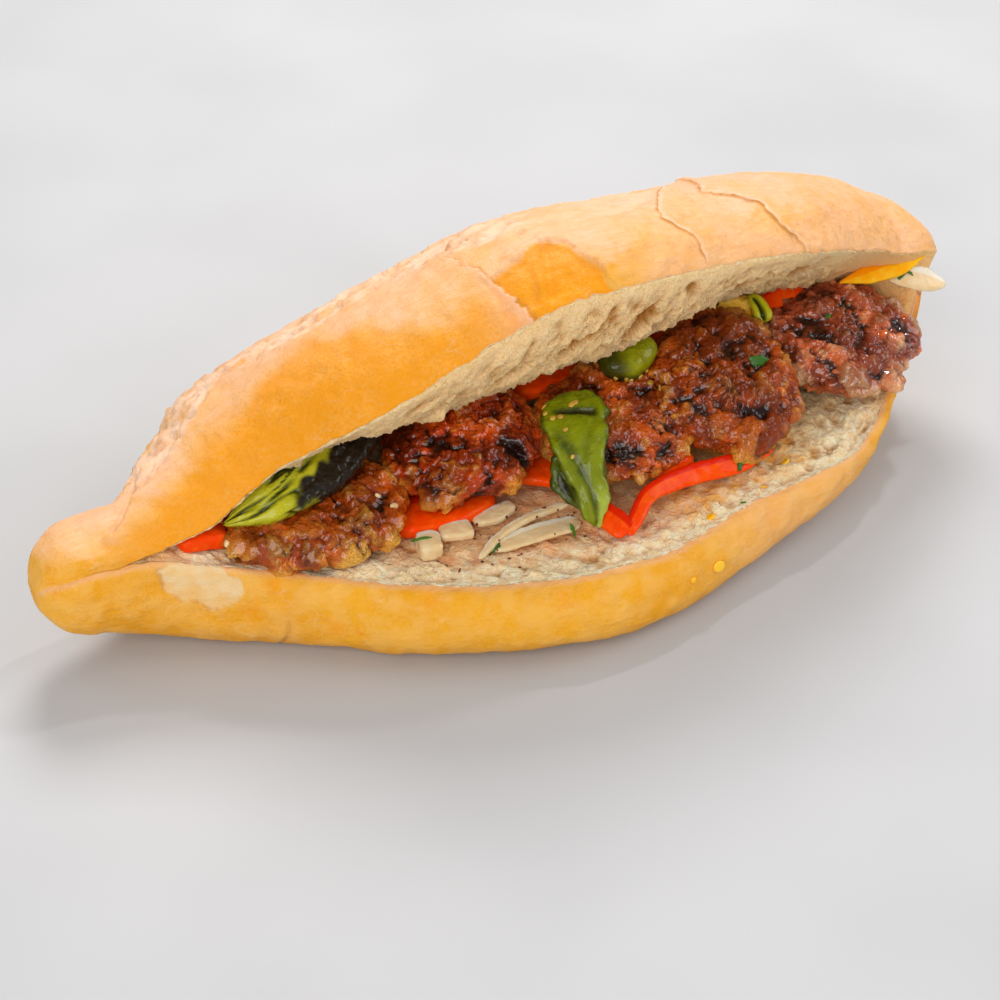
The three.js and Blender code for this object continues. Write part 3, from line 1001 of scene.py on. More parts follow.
    def open_slash(self) -> None:
        """The slash, torn pale and craggy behind its ridge."""
        along = self.along
        stretched = self.points * [0.3, 1.0, 1.0]
        near, _, own = cells(stretched, 4.2, 61)
        crags = ramp(near, 0.8, 0.45) * (own - 0.4)
        ridges = 1 - np.abs(waves(stretched, 3.6, 62, 3)) * 2.2
        ends = ramp(along, -136, -126) * ramp(along, 70, 52)
        for trail, strength, width in (
            (self.slash_ridge, 1.0, self.slash_width),
            (self.slash_right, 0.45, 1.5 * self.slash_width),
        ):
            gap, side, _ = trail.measure(along, self.back)
            inner = (side > 0) * ramp(gap, width, width * 0.6) * self.on_lid
            band = inner * ends * ramp(gap, 0, 2)
            rise = band * (0.8 * ridges + 1.8 * crags - 0.7) + 0.9 * ends * self.on_lid * np.exp(-gap / 3)
            self.height += strength * rise
            self.height += band * strength * 1.2 * bump(along + 102, 10)
            self.mark("torn", strength * band * ramp(waves(stretched, 5, 71, 3), -0.5, 0.3))

    def wrinkle(self) -> None:
        """Fine wrinkles and hair cracks of the lid's right half."""
        right = ramp(self.along, 8, 30) * self.on_lid
        self.height += 0.16 * waves(self.points * [1, 0.2, 0.2], 2.4, 81, 2) * right
        hair = bump(waves(self.points * [1, 0.55, 0.55], 8, 83, 3), 0.035) * right
        self.height -= 0.22 * hair
        self.mark("fissure", 0.25 * hair)

    def wear_base(self) -> None:
        """A patch on the base's front where the crust came off, and a crease by it."""
        place, level = self.bare_place
        wide, high = self.bare_size
        along, down = self.along, self.down
        patch = np.abs((along - place) / wide) ** 2.4 + np.abs((down - level) / high) ** 2.4
        patch = ramp(patch + 0.55 * waves(self.points, 5, 85, 3), 1.15, 0.85) * self.on_base
        rim = np.clip(patch * (1 - patch) * 4 * 1.4, 0, 1)
        faded = 0.55 + 0.45 * ramp(down, 14, 5)
        crease = bump(along - self.crease_at + 0.05 * (down - 20), 0.6)
        crease = crease * ramp(down, 14, 20) * ramp(down, 75, 55) * self.on_base
        self.height -= 0.55 * patch
        self.height -= 0.9 * crease
        self.mark("bare", patch * faded * (0.85 + 0.4 * waves(self.points, 4, 86, 2)))
        # painted shade round the sunk patch's rim towards its left and bottom, and in the crease
        self.mark("fissure", 0.45 * (rim * ramp(0.8 * (place - along) + down - level, -2, 4)))
        self.mark("fissure", 0.4 * crease)

    def shut_seam(self) -> None:
        """The thin seam where the slit is shut in the knob."""
        along, far = self.along, 99  # far: the other half's lip doesn't count
        from_lip = np.minimum(
            self.back * self.on_lid + far * self.on_base, self.down + far * self.on_lid)
        seam = ramp(along, -128, -134) * np.exp(-from_lip / 0.6)
        # painted shade in the seam where the lips meet
        self.mark("fissure", 0.55 * seam * ramp(along, -149, -143))
        self.height -= 0.5 * seam * self.outside

    def pale(self, facing: Array) -> None:
        """The crust is pale on top, over its right half and along its lips from flour and steam; on top and
        over the right half this is also a painted sheen, as the lamp behind would light it.

        Args:
            facing: the direction that each point faces.
        """
        along, on_lid, on_base = self.along, self.on_lid, self.on_base
        upward = ramp(facing[..., 2] + 0.3 * facing[..., 1], 0.45, 1.0)
        right = ramp(along, 2, 35) * on_lid
        # painted sheen: faces that turn up are painted paler, as the lamp behind would light them
        sheen = on_lid * upward * (0.75 + 0.3 * waves(self.points, 16, 91, 2))
        sheen = np.maximum(sheen, right * (0.55 + 0.2 * waves(self.points, 12, 92, 2)))
        sheen = np.maximum(sheen, 0.62 * ramp(along, -138, -150) * upward)
        sheen = np.maximum(sheen, 0.28 * on_base * ramp(np.abs(along - 66), 44, 14))
        self.mark("washed", sheen * (1 - 0.92 * self.marks["glow"]))
        self.mark("washed", 0.45 * on_base * ramp(self.down, 3, 0.5))


@dataclass(frozen=True)
class Bread:
    """The loaf: a thin crust over a body of crumb, slit along the front and hinged at its back."""

    knob: LoafEnd = LoafEnd(-147, 17, 3, 29.5)
    tip: LoafEnd = LoafEnd(138, 23, 4, 49)
    lean_from: float = 80  # the lid overhangs the base at the tip
    lean_above: float = 0.2
    lean_below: float = 0.45
    undercut_from: float = 130  # and its rounded end leans further
    undercut: float = 0.5
    front_width: Profile = Profile(
        (-147, 13.5), (-133, 15), (-115, 22), (-100, 30.5), (-88, 39), (-70, 52.5), (-50, 63), (-30, 72),
        (-8, 78), (12, 76.5), (26, 73.5), (40, 69.5), (56, 65.5), (76, 61), (94, 55.6), (108, 50.8),
        (120, 44.6), (130, 36.8), (138, 31), (150, 27), (161, 25))
    back_width: Profile = Profile(
        (-147, 19), (-133, 20.5), (-120, 32), (-104, 44), (-88, 50), (-60, 57), (-30, 61), (0, 62),
        (30, 62), (60, 59), (90, 55), (115, 46.5), (128, 41.5), (138, 39), (150, 38), (161, 37.5))
    bottom_height: Profile = Profile(
        (-147, 12), (-133, 6.5), (-115, 1), (-100, 0), (30, 0), (55, 0.8), (75, 1.6), (95, 3.4), (110, 5.6),
        (124, 8.4), (138, 11.2), (150, 13.2), (161, 15))
    belly_height: Profile = Profile(
        (-147, 29), (-115, 15), (-80, 13), (40, 13), (90, 20), (138, 28), (150, 29.5), (161, 30))
    bottom_round: Profile = Profile(
        (-147, 13), (-115, 19), (-80, 21), (35, 21), (56, 26), (95, 32), (123, 28), (138, 20), (150, 17),
        (161, 15))
    cut_height: Profile = Profile(
        (-147, 39.5), (-136, 39.5), (-113, 34.5), (-90, 30), (-66, 28), (-30, 26.5), (20, 26),
        (90, 26.5), (138, 30), (150, 30.8), (161, 31))
    lip_inset: Profile = Profile(
        (-147, 3), (-115, 4), (-90, 9), (-70, 9.6), (-50, 9.6), (-30, 11), (-8, 11), (12, 8.4), (40, 8.4),
        (56, 7), (76, 4.2), (94, 2.3), (108, 4), (120, 5), (130, 5.6), (138, 6.6), (150, 6.6),
        (161, 6.4))
    lid_short: Profile = Profile(  # how far the lid's lip lies behind the base's while shut
        (76, 0), (94, 1), (110, 4), (123, 4.2), (133, 1.8), (138, -0.5), (150, -3.6), (161, -5.4))
    dome_height: Profile = Profile(
        (-147, 7), (-137, 10), (-128, 16), (-120, 21.5), (-104, 29), (-88, 32.5), (-64, 34.5), (-40, 36.5),
        (-15, 37.5), (10, 37), (60, 35.5), (90, 38), (103, 38.3), (115, 37.2), (130, 33.6), (138, 30.6),
        (150, 25.4), (161, 22))
    hinge_y: Profile = Profile(
        (-147, -9), (-136, -7), (-124, 1), (-113, 8), (-104, 18), (-90, 28), (-66, 38), (-45, 42),
        (-25, 45), (0, 47), (30, 47), (60, 45), (90, 38), (105, 33), (120, 28), (138, 23), (150, 21.5),
        (161, 21))
    opening: Profile = Profile(  # degrees
        (-147, 0), (-139, 3), (-133, 12), (-124, 21), (-113, 28), (-104, 31), (-90, 35), (-66, 36.5),
        (-45, 39), (-25, 41), (0, 42.5), (45, 42), (90, 42.5), (125, 44), (138, 44))
    slit_depth: Profile = Profile(
        (-147, 0.25), (-140, 0.6), (-132, 1), (126, 1), (140, 0.55), (152, 0.2))
    lid_crumb_sag: Profile = Profile(
        (-110, 0.02), (-75, 0.03), (-55, 0.07), (-35, 0.1), (0, 0.115), (35, 0.1), (65, 0.055),
        (90, 0.015), (138, 0))
    dome_power: float = 2.25
    dome_start: float = 0.13
    dome_step_in: float = 3
    back_fold: float = 0.5
    crumb_swell: float = 0.6
    base_dish: float = 1.2
    hinge_rise: float = 1.5
    lip_gap: float = 0.3
    crust_thick: float = 3.2  # how deep the crust's hidden side lies
    crumb_under: float = 2.4  # how deep the crumb lies under the crust
    rim: float = 0.7  # width of the crust's own cut edge

    lid_holes: tuple[tuple[float, float, float, float], ...] = (  # along, in from the lip, width, depth
        (-10, 4, 2, 1.6), (0, 5, 2, 1.6), (8, 9, 3, 2), (13, 5, 2, 1.6), (22, 17, 4.5, 3), (38, 6, 2.5, 2),
        (65, 22, 4.5, 3), (90, 20, 4, 2.5),
    )

    def stations(self, end: int, middle: int) -> Array:
        """Places along the loaf of its rings, closer together at the rounded ends.

        Args:
            end: how many rings each end has.
            middle: how many lie between them.

        Returns:
            The places, from the knob to the tip.
        """
        quarter = np.linspace(0.03, 1, end, endpoint=False) * math.pi / 2
        knob = self.knob.start - self.knob.length * np.cos(quarter)
        tip = self.tip.start + self.tip.length * np.cos(quarter[::-1])
        return np.concatenate([knob, np.linspace(self.knob.start, self.tip.start, middle), tip])

    def swing(self, x: Array, y: Array, z: Array) -> Array:
        """Opens a point of the shut lid about the hinge.

        Args:
            x: place along the loaf.
            y: depth of the point while the lid is shut.
            z: its height.

        Returns:
            Depth and height once the lid is open, along a new last axis.
        """
        angle = np.radians(self.opening(x))
        hinge_y, hinge_z = self.hinge_y(x), self.cut_height(x) + self.hinge_rise
        dy, dz = y - hinge_y, z - hinge_z
        across = hinge_y + dy * np.cos(angle) + dz * np.sin(angle)
        up = hinge_z - dy * np.sin(angle) + dz * np.cos(angle)
        return np.stack([across, up], -1)

    def arch(self, x: Array, share: Array) -> Array:
        """The lid's crust from its folded back over its top to its lip.

        Args:
            x: places along the loaf.
            share: way round the lid, 0 at its back and 1 at its lip.

        Returns:
            Depth and height of each point.
        """
        turn = (self.dome_start + (1 - self.dome_start) * share) * math.pi
        back = self.back_width(x) - self.dome_step_in
        shut = self.lip_inset(x) + self.lid_short(x) - self.front_width(x)
        power = 2 / self.dome_power
        y = (back + shut) / 2 + (back - shut) / 2 * fuller(np.cos(turn), power)
        z = self.cut_height(x) + self.lip_gap + self.dome_height(x) * fuller(np.sin(turn), power)
        return self.swing(x, y, z)

    def closed(self, x: Array) -> Array:
        """How far each lip is drawn towards the other, 0.5 where the slit is shut in the knob."""
        return 0.5 * ramp(x, -134, -141)[..., None]

    def drawn_together(self, x: Array, first: Array, second: Array) -> tuple[Array, Array]:
        """Both lips once they are drawn together in the knob."""
        share = self.closed(x)
        return first * (1 - share) + second * share, second * (1 - share) + first * share

    def base_front(self, x: Array, share: Array) -> Array:
        """The base's crust from its lip down to its belly.

        Args:
            x: places along the loaf.
            share: way down, 0 at the lip and 1 at the belly.

        Returns:
            Depth and height of each point.
        """
        turn = (1 - share) * math.pi / 2
        belly, top = self.belly_height(x), self.cut_height(x) - self.lip_gap
        y = -self.front_width(x) + self.lip_inset(x) * (1 - np.cos(turn))
        return np.stack([y + 0 * share, belly + (top - belly) * np.sin(turn)], -1)

    def corner(self, x: Array, share: Array, side: int) -> Array:
        """The rounding between belly and bottom.

        Args:
            x: places along the loaf.
            share: way down, 0 at the belly and 1 at the bottom.
            side: -1 in front and 1 behind.

        Returns:
            Depth and height of each point.
        """
        turn = share * math.pi / 2
        width = self.front_width(x) if side < 0 else self.back_width(x)
        belly, bottom, radius = self.belly_height(x), self.bottom_height(x), self.bottom_round(x)
        y = side * (width - radius + radius * np.cos(turn))
        return np.stack([y, belly - (belly - bottom) * np.sin(turn)], -1)

    def outside(self, x: Array, plan: CrustPlan, depth: float = 0.0, worn: float = 0.0) -> Array:
        """The crust from the base's lip, under the loaf and over the lid, to the lid's lip.

        Args:
            x: places of the rings, one to a row.
            plan: where the points lie.
            depth: how far under the surface, in millimetres.
            worn: how far the torn lips lie back from their usual line at most, in millimetres.

        Returns:
            Depth and height of every point of every ring.
        """
        column = x[:, None]
        lips = np.stack([column[:, 0], 0 * column[:, 0], 0 * column[:, 0]], -1)
        ragged = ramp(column, -140, -125) * worn
        low = ragged * np.clip(0.35 + 0.8 * waves(lips, 6, 33, 3)[:, None], 0, 1)
        high = ragged * np.clip(0.35 + 0.8 * waves(lips, 5, 35, 3)[:, None], 0, 1)
        front = self.base_front(column, low / 18 + (1 - low / 18) * plan.front)
        under = self.corner(column, plan.corner, -1)
        behind = self.corner(column, 1 - plan.back, 1)
        flat = under[:, -1:] + (behind[:, :1] - under[:, -1:]) * plan.flat[:, None]
        arch = self.arch(column, plan.arch * (1 - high / 120))
        start, end = behind[:, -1:], arch[:, :1]
        pull = (start + end) / 2 - [self.back_fold * 2, 0]
        t = plan.fold[:, None]
        fold = start * (1 - t) ** 2 + pull * 2 * t * (1 - t) + end * t**2
        path = np.concatenate([front, under, flat, behind, fold, arch], axis=1)
        return self.sunk(path, depth) if depth else path

    def sunk(self, path: Array, depth: float) -> Array:
        """The same rings so many millimetres under the crust, less deep by the lips."""
        along = unit(np.gradient(path, axis=1))
        walked = walk(path)
        from_lip = np.minimum(walked, walked[:, -1:] - walked)
        under = np.minimum(depth, 0.3 + 0.5 * from_lip)[..., None]
        return path + np.stack([-along[..., 1], along[..., 0]], -1) * under

    def inside(self, x: Array, share: Array) -> tuple[Array, Array]:
        """The crumb faces of lid and base.

        Args:
            x: places of the rings, one to a row.
            share: way in from the lips (0) to the hinge (1).

        Returns:
            Depth and height on the lid's face, and on the base's face.
        """
        column = x[:, None]
        lid_lip = self.arch(column, np.ones(1))
        base_lip = self.base_front(column, np.zeros(1))
        lid_lip, base_lip = self.drawn_together(column, lid_lip, base_lip)
        hinge = np.stack([self.hinge_y(column), self.cut_height(column) + self.hinge_rise], -1)
        angle = np.radians(self.opening(column))
        down = np.stack([-np.sin(angle), -np.cos(angle)], -1)
        reach = np.linalg.norm(hinge - lid_lip, axis=-1)
        sag = reach * self.lid_crumb_sag(column) * np.sin(math.pi * share**self.crumb_swell)
        way = share[..., None]
        lid = lid_lip + (hinge - lid_lip) * way + down * sag[..., None]
        base = base_lip + (hinge - base_lip) * way
        base[..., 1] -= share * self.base_dish
        depth = self.slit_depth(column)[..., None]
        half = way / 2
        lid_line = lid_lip * (1 - half) + base_lip * half
        base_line = base_lip * (1 - half) + lid_lip * half
        return lid_line + (lid - lid_line) * depth, base_line + (base - base_line) * depth

    def place(self, x: Array, section: Array) -> Array:
        """The rings' points in space, with the ends rounded and the tip leaning."""
        column = x[:, None]
        past_knob = np.clip((self.knob.start - column) / self.knob.length, 0, 1)
        past_tip = np.clip((column - self.tip.start) / self.tip.length, 0, 1)
        scale = np.sqrt(np.clip(1 - past_knob**2 - past_tip**2, 0, 1))
        beyond = column > 0
        middle_y = np.where(beyond, self.tip.y, self.knob.y)
        middle_z = np.where(beyond, self.tip.z, self.knob.z)
        height = (section[..., 1] - middle_z) * scale
        lean = ramp(column, self.lean_from, self.tip.start)
        undercut = self.undercut * ramp(column, self.undercut_from, self.tip.start + self.tip.length)
        slope = np.where(height > 0, self.lean_above * lean, self.lean_below * lean + undercut)
        y = middle_y + (section[..., 0] - middle_y) * scale
        points = np.stack([column + height * slope, y, middle_z + height], -1)
        return points + self.sway(points)

    def sway(self, points: Array) -> Array:
        """Slow unevenness that crust and crumb share, so that they stay together."""
        wide = [waves(points, 38, 11 + k, 1) for k in range(3)]
        near = [waves(points, 7, 21 + k, 2) for k in range(3)]
        return np.stack(wide, -1) * [0.0, 1.0, 0.8] + np.stack(near, -1) * [0.0, 0.4, 0.4]

    def crust(self) -> Skin:
        """The crust, with its folds, tears and slash."""
        x = self.stations(40, 418)
        plan = CrustPlan.of(front=28, corner=12, flat=4, back=9, fold=4, rear=32, top=82)
        sparse = CrustPlan.of(front=4, corner=3, flat=1, back=3, fold=1, rear=3, top=5)
        outer = self.outside(x, plan, worn=0.8)
        outer[:, -1], outer[:, 0] = self.drawn_together(x, outer[:, -1], outer[:, 0])
        lid_face, base_face = self.inside(x, np.array([0.0, 0.05]))
        lid_in, base_in = unit(lid_face[:, 1] - lid_face[:, 0]), unit(base_face[:, 1] - base_face[:, 0])
        lid_up = unit(outer[:, -3] - outer[:, -1])
        base_down = unit(outer[:, 2] - outer[:, 0])
        width = self.rim * (0.15 + 0.85 * ramp(x, -142, -130))[:, None]
        bends = ((0.5, 0.0), (1.0, 0.1), (1.2, 1.3))
        lid_rim = [outer[:, -1] + (lid_in * a + lid_up * b) * width for a, b in bends]
        base_rim = [outer[:, 0] + (base_in * a + base_down * b) * width for a, b in bends[::-1]]
        hidden = self.outside(x, sparse, self.crust_thick)[:, 1:-1][:, ::-1]
        section = np.concatenate([outer, np.stack(lid_rim, 1), hidden, np.stack(base_rim, 1)], axis=1)
        skin = Skin(self.place(x, section))
        shown = outer.shape[1]
        CrustMarks(skin.points, shown, shown - len(plan.arch)).lay(skin)
        skin.points[..., 2] = np.maximum(skin.points[..., 2], 0)
        return skin

    def crumb(self) -> Skin:
        """The crumb, its two torn faces open to the front."""
        x = self.stations(24, 446)
        x = x[(x > -139.5) & (x < 159.5)]  # the slit is shut in the knob
        sparse = CrustPlan.of(front=7, corner=3, flat=1, back=3, fold=2, rear=4, top=10)
        shares = sparse.arch.copy()
        shares[-4:] = [0.9, 0.965, 0.99, 1.0]
        sparse = CrustPlan(np.array([0.0, 0.08, 0.25, 0.5, 0.75, 1.0]), sparse.corner, sparse.flat,
                           sparse.back, sparse.fold, shares)
        share = np.linspace(0.004, 1, 84) ** 1.5
        inward = 0.35 * ramp(x, -127, -135)[:, None]
        lid, base = self.inside(x, inward + (1 - inward) * share)
        hidden = self.outside(x, sparse, self.crumb_under)[:, 1:-1]
        section = np.concatenate([hidden, lid, base[:, :-1][:, ::-1]], axis=1)
        skin = Skin(self.place(x, section))
        points = skin.points
        first, inner = hidden.shape[1], len(share)
        on_lid, on_base, reach = (np.zeros(points.shape[:2]) for _ in range(3))
        lid_part, base_part = slice(first, first + inner), slice(first + inner, None)
        on_lid[:, lid_part] = 1
        on_base[:, base_part] = 1
        for part, lip in ((lid_part, first), (base_part, points.shape[1] - 1)):
            reach[:, part] = np.linalg.norm(points[:, part] - points[:, lip : lip + 1], axis=-1)
        along = points[..., 0]
        flat = np.stack([along, reach, 60 * on_base], -1)  # along the loaf, and in from the lip
        height = self.hanging(flat) * on_lid + self.porous(flat) * on_base
        height = height * (1 - 0.8 * ramp(along, 104, 128))
        face = on_lid + on_base
        fringe = 0.35 * waves(flat, 2.4, 167, 2) * ramp(reach, 3, 0)
        skin.lift((height + fringe * face) * ramp(along, 152, 136))
        soaked = on_base * ramp(reach, 5, 14) * ramp(np.abs(along - 2), 85, 50)
        # painted light near the lips, strongest on the base's face
        lip_light = 1.5 * on_base * ramp(reach, 24, 8) + 0.1 * on_lid * ramp(reach, 16, 5)
        skin.values = {
            # painted shade over the lid's face, which faces down away from the lamps
            "lid_shade": 0.5 * on_lid,
            # painted shade in the relief's hollows
            "pore_shade": np.clip(ramp(height, 0.0, -2.1) * face, 0, 1) * (1 - 0.5 * ramp(along, 112, 132)),
            "soaked": np.clip(soaked, 0, 1) * 0.72,
            "lip_light": lip_light * ramp(along, 124, 100),
            "oily": on_base * ramp(reach, 4, 9) * ramp(np.abs(along - 52), 34, 20),
            # painted glow of light through the thin crumb by the tip and the knob
            "thin": np.maximum(ramp(along, 98, 126), 0.8 * ramp(along, -118, -128)) * face,
        }
        return skin

    def hanging(self, flat: Array) -> Array:
        """Relief of the lid's crumb in millimetres, strands that hang drawn out from the lip."""
        along, reach = flat[..., 0], flat[..., 1]
        lean = flat + np.stack([0.35 * reach, 0 * reach, 0 * reach], -1)
        strands = waves(lean * [1, 0.22, 1], 2.1, 151, 2)
        near, _, own = cells(lean * [1, 0.55, 1], 4.2, 155)
        height = 1.5 * waves(lean * [1, 0.5, 1], 6.0, 153, 3)
        height = height + 0.5 * strands * (1 + ramp(reach, 8, 20))
        height = height - 1.2 * ramp(near, 0.75, 0.1) * (own > 0.72)
        for place, inward, wide, deep in self.lid_holes:
            hole = bump(along - place, wide) * bump(reach - inward, wide * 1.6)
            height -= deep * hole
        height += 0.7 * waves(lean, 3.0, 157, 3)
        return height * (ramp(reach, 1.5, 7) * (0.75 + 0.6 * ramp(reach, 6, 20)))

    def porous(self, flat: Array) -> Array:
        """Relief of the base's crumb in millimetres, round pores and a few loose lumps."""
        along, reach = flat[..., 0], flat[..., 1]
        near, _, own = cells(flat * [1, 0.8, 1], 3.6, 161)
        pores = ramp(near, 0.75, 0.2) * (own > 0.5)
        near, _, own = cells(flat, 1.7, 163)
        small = ramp(near, 0.7, 0.2) * (own > 0.4)
        height = 1.1 * waves(flat, 6.5, 165, 3) - 1.1 * pores * (0.25 + 0.75 * ramp(along, 30, 75))
        height -= 0.5 * small
        near, _, own = cells(flat + 1.2 * waves(flat, 3, 168, 1)[..., None], 4.4, 169)
        lumps = (1 - np.minimum(near, 1) ** 2) * (own - 0.25)
        height += 1.7 * lumps * ramp(reach, 16, 8) * ramp(reach, 1, 4)
        return height * ramp(reach, 0.6, 4)

    def build(self) -> None:
        """Makes the crust and the crumb and dresses them."""
        hand_over(make_piece("bread_crust", [self.crust()], BakedCrust().material()), Slot.CRUST, "bread")
        hand_over(make_piece("bread_crumb", [self.crumb()], OpenCrumb().material()), Slot.CRUMB, "bread")


# ---- lumps and strips


@dataclass(frozen=True)
class Lump:
    """A thick disc with a round rim, its outline and faces uneven."""

    x: float
    y: float
    z: float
    length: float
    depth: float
    thick: float
    tilt: float = 0.0  # degrees, back edge up
    roll: float = 0.0  # degrees, right edge down
    seed: float = 0.0

    def skin(self, around: int, up: int) -> Skin:
        """The lump as rings from its underside to its top.

        Args:
            around: points to a ring.
            up: rings.

        Returns:
            The surface, with no values yet.
        """

        def outline(share: Array) -> Array:
            """The lump's cross-section, for shares from its underside to its top."""
            rim, height = self.bulge(share)
            return np.stack([self.length / 2 * rim, self.thick / 2 * height], -1)

        rim, height = self.bulge(even_shares(outline, up + 2)[1:-1, None])
        a = np.linspace(0, 2 * math.pi, around, endpoint=False)
        uneven = 1 + 0.05 * np.sin(2 * a + self.seed) + 0.035 * np.sin(3 * a + 2 * self.seed)
        uneven = uneven + 0.025 * np.sin(5 * a + 3 * self.seed)
        ripple = 0.045 * self.thick * np.sin(3 * a + self.seed) * rim * height
        local = np.stack([
            self.length / 2 * uneven * rim * np.cos(a),
            self.depth / 2 * uneven * rim * np.sin(a),
            self.thick / 2 * height + ripple,
        ], -1)
        return Skin(local @ self.turning().T + [self.x, self.y, self.z])

    def bulge(self, share: Array) -> tuple[Array, Array]:
        """Reach and height as shares, from the underside (0) to the top (1)."""
        lift = (share - 0.5) * math.pi
        return np.cos(lift) ** LUMP_RIM, fuller(np.sin(lift), LUMP_FACE)

    def turning(self) -> Array:
        """The rotation that tilts and then rolls the lump, as a 3 by 3 matrix."""
        tilt, roll = math.radians(self.tilt), math.radians(self.roll)
        cos, sin = math.cos(tilt), math.sin(tilt)
        about_x = np.array([[1, 0, 0], [0, cos, -sin], [0, sin, cos]])
        cos, sin = math.cos(roll), math.sin(roll)
        about_y = np.array([[cos, 0, sin], [0, 1, 0], [-sin, 0, cos]])
        return about_y @ about_x

    def inner(self, points: Array) -> Array:
        """Points as seen from the lump's middle."""
        return points - [self.x, self.y, self.z]


@dataclass(frozen=True)
class Strip:
    """A rounded flat section carried along a path of (x, y, z, width, thickness)."""

    face: Face
    blunt: float
    path: tuple[tuple[float, float, float, float, float], ...]

    def line(self, t: Array) -> Array:
        """The smooth path through the strip's middle, a point for each share of it from 0 to 1."""
        knots = np.array([p[:3] for p in self.path], float)
        knots = np.concatenate([[2 * knots[0] - knots[1]], knots, [2 * knots[-1] - knots[-2]]])
        pieces = len(self.path) - 1
        i = np.minimum((t * pieces).astype(int), pieces - 1)
        w = (t * pieces - i)[:, None]
        p0, p1, p2, p3 = (knots[i + k] for k in range(4))
        pairs = ((p0, p1), (p1, p2), (p2, p3))
        d0, d1, d2 = (np.linalg.norm(b - a, axis=-1, keepdims=True) ** 0.5 for a, b in pairs)
        t1 = ((p1 - p0) / d0 - (p2 - p0) / (d0 + d1) + (p2 - p1) / d1) * d1
        t2 = ((p2 - p1) / d1 - (p3 - p1) / (d1 + d2) + (p3 - p2) / d2) * d1
        return p1 + t1 * w + (3 * (p2 - p1) - 2 * t1 - t2) * w**2 + (2 * (p1 - p2) + t1 + t2) * w**3

    def skin(self, along: int, around: int, least: float = 0.12) -> Skin:
        """The strip as rings from its first end to its last.

        Args:
            along: rings.
            around: points to a ring.
            least: share of its size that an end is drawn in to.

        Returns:
            The surface, with the share of its length, the place across it from -1 to 1, and how far
            its points are on the face (1) or the underside (-1).
        """
        t = np.linspace(0, 1, along)
        t = t - np.sin(2 * math.pi * t) / (2 * math.pi) * 0.6  # rings closer together at the ends
        places = np.linspace(0, 1, len(self.path))
        width, thick = (Profile(*[(s, p[k]) for s, p in zip(places, self.path)])(t) for k in (3, 4))
        step = 1e-4
        ahead, behind = self.line(np.clip(t + step, 0, 1)), self.line(np.clip(t - step, 0, 1))
        way = unit(ahead - behind)
        side = unit(np.cross(np.array(self.face.value), way))
        out = np.cross(way, side)
        drawn = np.maximum(least, (1 - np.abs(2 * t - 1) ** self.blunt) ** 0.5)

        def ring(share: Array) -> Array:
            """The strip's section for shares of a turn, as wide and as thick as 1."""
            turn = share * 2 * math.pi
            return fuller(np.stack([np.cos(turn), np.sin(turn)], -1), STRIP_EDGE)

        size = np.array([width.mean(), thick.mean()]) / 2
        across, over = ring(even_shares(lambda share: ring(share) * size, around + 1)[:-1]).T
        points = self.line(t)[:, None] + side[:, None] * (width / 2 * drawn)[:, None, None] * across[:, None]
        points = points + out[:, None] * (thick / 2 * drawn)[:, None, None] * over[:, None]
        whole = np.ones((along, around))
        return Skin(points, {"along": whole * t[:, None], "across": whole * across, "over": whole * over})


# ---- fillings


